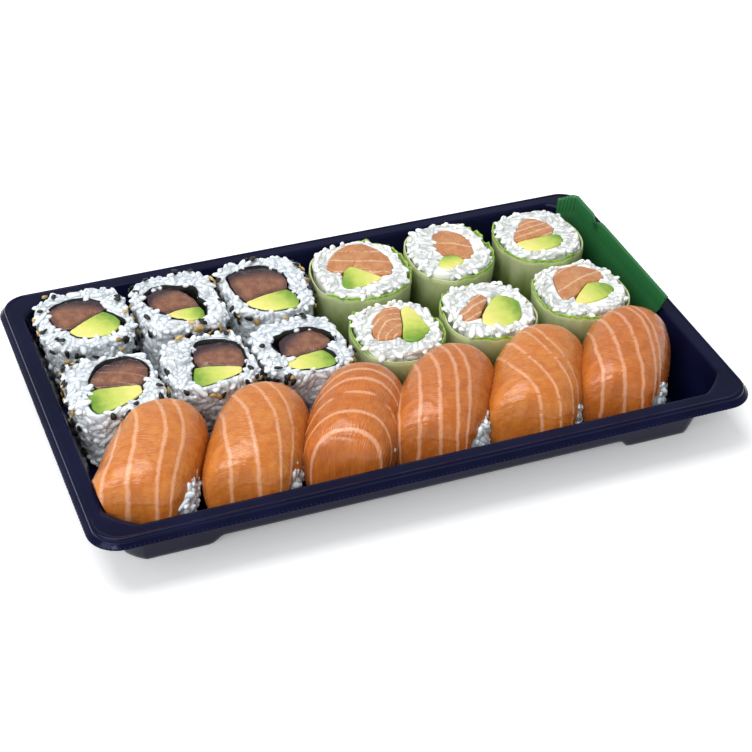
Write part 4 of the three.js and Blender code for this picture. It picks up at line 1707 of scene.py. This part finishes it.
@dataclass
class Nigiri:
    """One nigiri: a block of rice under a slice of salmon.

    Lengths are in millimetres. The spread widens the slice past its CAD node's dome, and the hang is how
    far it turns in under its widest place, as an angle in radians.
    """

    number: int
    look: SliceLook
    tray: Tray
    half_length: float = 25.6
    slice_mm: float = 4.0
    spread: float = 1.085
    hang: float = 0.3
    rows: int = 130
    columns: int = 120

    def __post_init__(self) -> None:
        """Finds the slice's middle, direction and width from the dome of its CAD node."""
        self.name = f"nigiri_{self.number}"
        points = triangles_of(f"{self.name}_salmon").reshape(-1, 3)
        self.top = points[:, 2].max()
        dome = points[points[:, 2] > self.top - 7][:, :2]
        self.centre = (dome.min(axis=0) + dome.max(axis=0)) / 2
        spread = np.linalg.eigh(np.cov((dome - dome.mean(axis=0)).T))[1][:, -1]
        self.along = spread * np.sign(spread[1])
        self.across = np.array([self.along[1], -self.along[0]])
        across = (points[:, :2] - self.centre) @ self.across
        self.half_width = (across.max() - across.min()) / 2 * self.spread
        self.rng = np.random.default_rng(500 + self.number)
        turn = math.degrees(math.atan2(-self.along[0], self.along[1]))
        LOG.info("%s: turned %.1f degrees, half width %.1f mm", self.name, turn, self.half_width)

    def slice(self) -> Surface:
        """The slice: the upper shell of a loaf.

        At the angle a along it and the angle r round it, the loaf's point is its half width times
        cos(a)^n cos(r)^0.88, its half length times sin(a)^m, and its height times cos(a)^k sin(r)^0.92.
        Towards the front n falls from 0.5 to 0.26, so that the slice stays broad there, m rises from
        0.65 to 1.05, and k from 0.3 to 0.65. The front hangs down, and the right edge is drawn up there
        over the bare rice.

        Returns:
            The slice, a closed sheet with the marks "fat", "edge" and "flesh".
        """
        share = np.linspace(-1, 1, self.rows)[:, None]
        across_share = np.linspace(-1, 1, self.columns)[None]
        front = smooth_step(-share)
        bare = self.look.bare_right * smooth_step((-share - 0.05) / 0.6)
        if self.look.torn:
            first_notch = 0.3 * smooth_step((-share - 0.52) / 0.02)
            second_notch = 0.35 * smooth_step((-share - 0.68) / 0.02)
            bare = bare + first_notch + second_notch
        left, right = math.pi + self.hang, -self.hang + bare
        round_ = left + (across_share + 1) / 2 * (right - left)
        angle = share * (0.497 * math.pi)
        narrowing = np.cos(angle) ** (0.5 - 0.24 * front)
        lowering = np.cos(angle) ** (0.3 + 0.35 * front)
        base = self.tray.floor + 0.3
        middle = base + 0.42 * (self.top - base)
        height = np.where(np.sin(round_) > 0, self.top - middle, middle - base)
        x = self.half_width * narrowing * signed_power(np.cos(round_), 0.88)
        flare = self.look.flare_left * smooth_step((-share + 0.25) / 1.1)
        x = x * np.where(x < 0, 1 + flare, 1.0)
        x = x - self.look.skew * (0.8 - signed_power(np.sin(angle), 0.65)) * self.half_length
        y = self.half_length * signed_power(np.sin(angle), 0.65 + 0.4 * front) + 0 * round_
        z = middle + height * lowering * signed_power(np.sin(round_), 0.92)
        z = z - 8 * smooth_step((-share - 0.5) / 0.5)
        local = np.stack([x, y, z], axis=-1)
        arc = self.arc_at(round_, middle) * narrowing
        run = self.half_length * signed_power(np.sin(angle), 0.65) * 1.12
        fat = self.fat(arc, run, middle, local)
        ridge = 0.14 * np.exp(-((fat / 0.7) ** 2))
        uneven = 0.35 * lattice_noise(local, 9, 300 + self.number) + 0.12 * lattice_noise(local, 3, 301)
        normals = grid_normals(local, False) * self.facing(local)
        local = local + normals * (ridge + uneven - 0.4)[..., None]
        plan = self.centre + local[..., :1] * self.across + local[..., 1:2] * self.along
        grid = self.tray.clamp(np.concatenate([plan, local[..., 2:]], axis=-1), 0.3)
        thinning = np.sqrt(1 - np.abs(share) ** 10) * np.sqrt(1 - np.abs(across_share) ** 8)
        # Painted shade: the flanks and the hanging front are darkened by the mark "edge" towards the
        # finish's dark side colour.
        sides = 0.42 * smooth_step((np.abs(across_share) - 0.45) / 0.55)
        lower = sides + 0.25 * smooth_step((-share - 0.55) / 0.4)
        flesh = np.stack([arc, np.broadcast_to(run, arc.shape), z * 0.2], axis=-1) * MM
        if self.look.cut is Cut.CROSSWISE:
            flesh = flesh[..., [1, 0, 2]]
        marks = {"fat": fat, "edge": lower, "flesh": flesh}
        sheet = leaf(grid, self.slice_mm * thinning * self.facing(grid), marks)
        sheet.points = self.tray.clamp(sheet.points, 0.4)
        return sheet

    @staticmethod
    def facing(grid: Array) -> float:
        """1 where a grid's own normals point up in its middle, and -1 where they point down."""
        middle = grid_normals(grid, False)[grid.shape[0] // 2, grid.shape[1] // 2]
        return float(np.sign(middle[2]))

    def arc_at(self, round_: Array, middle: float) -> Array:
        """The length over the loaf's middle section from its crown to each angle round it.

        Args:
            round_: Angles round the section, 0 at its right and half a turn at its left.
            middle: The height where the loaf is widest.

        Returns:
            One length for each angle, growing to the right.
        """
        angle = np.linspace(-0.8, np.pi + 0.8, 400)
        height = np.where(np.sin(angle) > 0, self.top - middle, middle - self.tray.floor)
        x = self.half_width * signed_power(np.cos(angle), 0.88)
        z = height * signed_power(np.sin(angle), 0.92)
        length = np.concatenate([[0], np.cumsum(np.hypot(np.diff(x), np.diff(z)))])
        crown = np.interp(np.pi / 2, angle, length)
        return crown - np.interp(round_, angle, length)

    def fat(self, arc: Array, run: Array, middle: float, local: Array) -> Array:
        """The distance from each point of the slice to its nearest fat line.

        Lengthwise lines start from their places across the slice and lean by their own angle;
        crosswise ones are arcs that fall back from the crown by the square of the distance across.

        Args:
            arc: The distance over the slice from its crown, to the right.
            run: The distance along the slice from its middle, to the back.
            middle: The height where the loaf is widest.
            local: The slice's points in its own frame.

        Returns:
            The distances in millimetres.
        """
        wander = 0.6 * lattice_noise(local, 12, 320 + self.number) + 0.25 * lattice_noise(local, 3.0, 321)
        if self.look.cut is Cut.LENGTHWISE:
            angle = np.arccos(signed_power(np.array(self.look.lines) / self.half_width, 1 / 0.88))
            lean = math.tan(math.radians(self.look.line_turn_deg))
            bow = self.look.line_bow * np.maximum(run, 0) ** 2
            away = np.abs((arc + lean * run + bow + wander)[..., None] - self.arc_at(angle, middle))
        else:
            bowed = run + 0.028 * (arc - 2) ** 2 + wander
            away = np.abs(bowed[..., None] - np.array(self.look.lines))
        return away.min(axis=-1) - self.look.line_mm

    def rice(self) -> Surface:
        """The block of rice: the CAD solid's own outlines, closed at the top, covered with grains.

        Returns:
            The core and its grains as one surface.
        """
        node = f"{self.name}_rice"
        low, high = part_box(node)
        base, top = low.z / MM + 0.2, high.z / MM - 1.5
        stack = Stack.of(node, np.linspace(base + 0.4, top - 0.8, 9), 2.0)
        rows = [stack.at(base + 0.2, -2.6)]
        rows += [stack.at(height, -1.6) for height in np.linspace(base + 0.5, top - 1, 16)]
        shoulder, peak = rows[-1], np.append(stack.centre, top)
        rows += [shoulder + share * (peak - shoulder) for share in (0.4, 0.8)]
        core = capped(np.array(rows))
        lumps = 0.5 * lattice_noise(core.points, 2.2, 7)
        core.points += unit(core.points - np.append(stack.centre, 12.0)) * lumps[:, None]
        core.marks = {"paste": np.ones(len(core.points))}
        forward = (stack.centre - core.points[:, :2]) @ self.along
        raised = smooth_step((core.points[:, 2] - base) / 8)
        core.points[:, 2] -= 3.0 * smooth_step(forward / 20) * raised
        open_side = (core.points[:, 2] < top - 6) & (core.points[:, 2] > base + 0.8)
        spots = scatter(core, open_side.astype(float), 1.9, self.rng)
        flat = spots.points[:, :2] - self.centre
        in_front = flat @ self.along < -0.55 * self.half_length
        covered = in_front & (flat @ self.across < 0.45 * self.half_width)
        spots = spots.keep(~covered)
        count = len(spots.points)
        lift, sink = self.rng.normal(0, 0.2, count), self.rng.normal(0, 0.25, count)
        grains = laid(RICE_GRAIN, spots, lift, sink, self.rng)
        grains.points = self.tray.clamp(grains.points, 0.2)
        return joined([core, grains])

    def build(self) -> None:
        """Makes the rice and the slice."""
        name, finish = self.name, self.look.finish
        piece(self.rice(), f"rice_of_{name}", CookedRice(), [f"{name}_rice"])
        piece(self.slice(), f"slice_of_{name}", finish, [f"{name}_salmon"])


# ------------------------------------------------------------------------------ studio


@dataclass
class Studio:
    """The camera, the soft lights and the pale floor. Lengths are in millimetres."""

    azimuth_deg: float = -21.68
    elevation_deg: float = 36.57
    roll_deg: float = 1.22
    lens_mm: float = 92.07
    distance: float = 680.2
    aim: tuple[float, float] = (-3.3, -18.7)
    floor_half: float = 4000.0

    def camera(self) -> None:
        """A camera looking at the rim's level from its azimuth and elevation, with a slight roll."""
        angles = (self.azimuth_deg, self.elevation_deg, self.roll_deg)
        azimuth, elevation, roll = (math.radians(angle) for angle in angles)
        level = np.array([math.sin(azimuth), -math.cos(azimuth), 0])
        back = level * math.cos(elevation) + np.array([0, 0, math.sin(elevation)])
        right = np.array([math.cos(azimuth), math.sin(azimuth), 0])
        up = np.cross(back, right)
        turned = math.cos(roll) * right + math.sin(roll) * up
        upright = -math.sin(roll) * right + math.cos(roll) * up
        aim = np.array([*self.aim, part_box("tray")[1].z / MM])
        data = bpy.data.cameras.new("camera")
        data.lens = self.lens_mm
        data.sensor_width = 36.0
        camera = bpy.data.objects.new("camera", data)
        camera.matrix_world = self.placed(turned, upright, back, (aim + self.distance * back) * MM)
        bpy.context.scene.collection.objects.link(camera)
        bpy.context.scene.camera = camera

    def softbox(self, name: str, place: Sequence[float], size: float, watts: float) -> None:
        """A square area light that faces the middle of the tray, placed in metres.

        Args:
            name: The light's name.
            place: Where it stands, in metres.
            size: The length of its sides, in metres.
            watts: Its power.
        """
        data = bpy.data.lights.new(name, "AREA")
        data.size = size
        data.energy = watts
        light = bpy.data.objects.new(name, data)
        back = unit(np.array(place))
        right = unit(np.cross([0, 1.0, 0.01], back))
        light.matrix_world = self.placed(right, np.cross(back, right), back, np.array(place))
        bpy.context.scene.collection.objects.link(light)

    @staticmethod
    def placed(right: Array, up: Array, back: Array, place: Array) -> Matrix:
        """The matrix of a thing from its own three directions and its place in metres.

        Args:
            right: The direction of its right side.
            up: The direction of its upper side.
            back: The direction of its back.
            place: Where it stands, in metres.

        Returns:
            The matrix.
        """
        columns = [np.append(column, 0.0) for column in (right, up, back)]
        return Matrix(np.column_stack([*columns, np.append(place, 1.0)]).tolist())

    def floor(self) -> None:
        """A pale floor far wider than the view, level with the feet."""
        corners = np.array([[-1, -1], [1, -1], [1, 1], [-1, 1]]) * self.floor_half
        points = np.column_stack([corners, np.zeros(4)])
        mesh = Surface(points, [np.array([[0, 1, 2, 3]])]).mesh("floor")
        floor = bpy.data.objects.new("floor", mesh)
        floor.data.materials.append(StudioPaper().material())
        bpy.context.scene.collection.objects.link(floor)

    def build(self) -> None:
        """Sets up the camera, the floor, the lights and the surrounding light."""
        self.camera()
        self.floor()
        self.softbox("overhead", (-0.25, 0.15, 1.1), 0.8, 10.8)
        self.softbox("left", (-1.0, -0.5, 0.75), 0.6, 4.8)
        self.softbox("front", (-0.65, -0.95, 0.9), 0.35, 4.2)
        world = bpy.data.worlds.new("studio")
        world.use_nodes = True
        world.node_tree.nodes["Background"].inputs["Color"].default_value = linear("#f2f5fa")
        world.node_tree.nodes["Background"].inputs["Strength"].default_value = 0.5
        bpy.context.scene.world = world
        bpy.context.scene.view_settings.view_transform = "Standard"


INSIDE_OUT_LOOKS = (
    RollLook(ripe_deg=35, dark_deg=70, voids=(Void(-25, 14, 1.6),)),
    RollLook(ripe_deg=0, dark_deg=110, voids=(Void(40, 22, 4.0), Void(-15, 16, 2.5), Void(150, 20, 1.0))),
    RollLook(ripe_deg=20, dark_deg=80, voids=(Void(85, 20, 1.0),)),
    RollLook(ripe_deg=180, dark_deg=95, stripe_deg=60, stripe_mm=4.5, voids=(Void(100, 30, 0.8),)),
    RollLook(ripe_deg=180, dark_deg=90, voids=(Void(95, 25, 0.6),)),
    RollLook(ripe_deg=0, dark_deg=130, voids=(Void(140, 24, 2.2), Void(10, 18, 2.0))),
)
WRAPPED_LOOKS = (
    RollLook(ripe_deg=180, stripe_deg=70, stripe_mm=7, brims=((-150, 75),)),
    RollLook(ripe_deg=90, stripe_deg=60, stripe_mm=12, brims=((-100, 60),)),
    RollLook(ripe_deg=20, stripe_deg=100, stripe_mm=3.6, brims=((130, 300),)),
    RollLook(ripe_deg=-90, stripe_deg=115, stripe_mm=3.8, stripe_bow=0.05, brims=((120, 215), (-50, 10))),
    RollLook(ripe_deg=0, stripe_deg=115, stripe_mm=3.8, brims=((120, 180), (230, 300))),
    RollLook(ripe_deg=10, stripe_deg=110, stripe_mm=8, brims=((140, 300),)),
)
SLICE_LOOKS = (
    SliceLook(lines=(-11.4, -4.9, 4.5, 10.2), line_turn_deg=5, skew=0.15, flare_left=0.3, bare_right=0.5),
    SliceLook(lines=(-11.4, -2.9, 6.5, 12.1), line_turn_deg=16, skew=0.13, bare_right=0.05),
    SliceLook(lines=(17.5, 10.5, 1.5, -10.0, -20.5), cut=Cut.CROSSWISE, skew=0.1, bare_right=0.1,
              line_mm=0.25, finish=DEEP_SALMON),
    SliceLook(lines=(-15.2, -9.2, -2.3, 4.1, 8.6), line_turn_deg=11, skew=0.19, bare_right=0.62,
              finish=DEEP_SALMON),
    SliceLook(lines=(-11.7, -4.3, 4.8, 9.4), line_turn_deg=31, line_bow=0.004, skew=0.15, flare_left=0.12,
              torn=True, bare_right=0.1),
    SliceLook(lines=(-11.7, -4.5, 2.7, 9.0, 11.7), line_turn_deg=15, skew=0.16, bare_right=0.7,
              finish=DEEP_SALMON),
)


def main() -> None:
    """Builds the studio, the tray and its food, in order."""
    logging.basicConfig(level=logging.INFO, format="%(name)s: %(message)s")
    Studio().build()
    tray = Tray()
    tray.build()
    GreenDivider(tray).build()
    inside_out = [Roll(Side.RICE, i + 1, look, tray) for i, look in enumerate(INSIDE_OUT_LOOKS)]
    wrapped = [Roll(Side.LEAF, i + 1, look, tray) for i, look in enumerate(WRAPPED_LOOKS)]
    for roll in (*inside_out, *wrapped):
        roll.build()
    Sesame(inside_out).build()
    for number, look in enumerate(SLICE_LOOKS, start=1):
        Nigiri(number, look, tray).build()


if __name__ == "__main__":
    main()
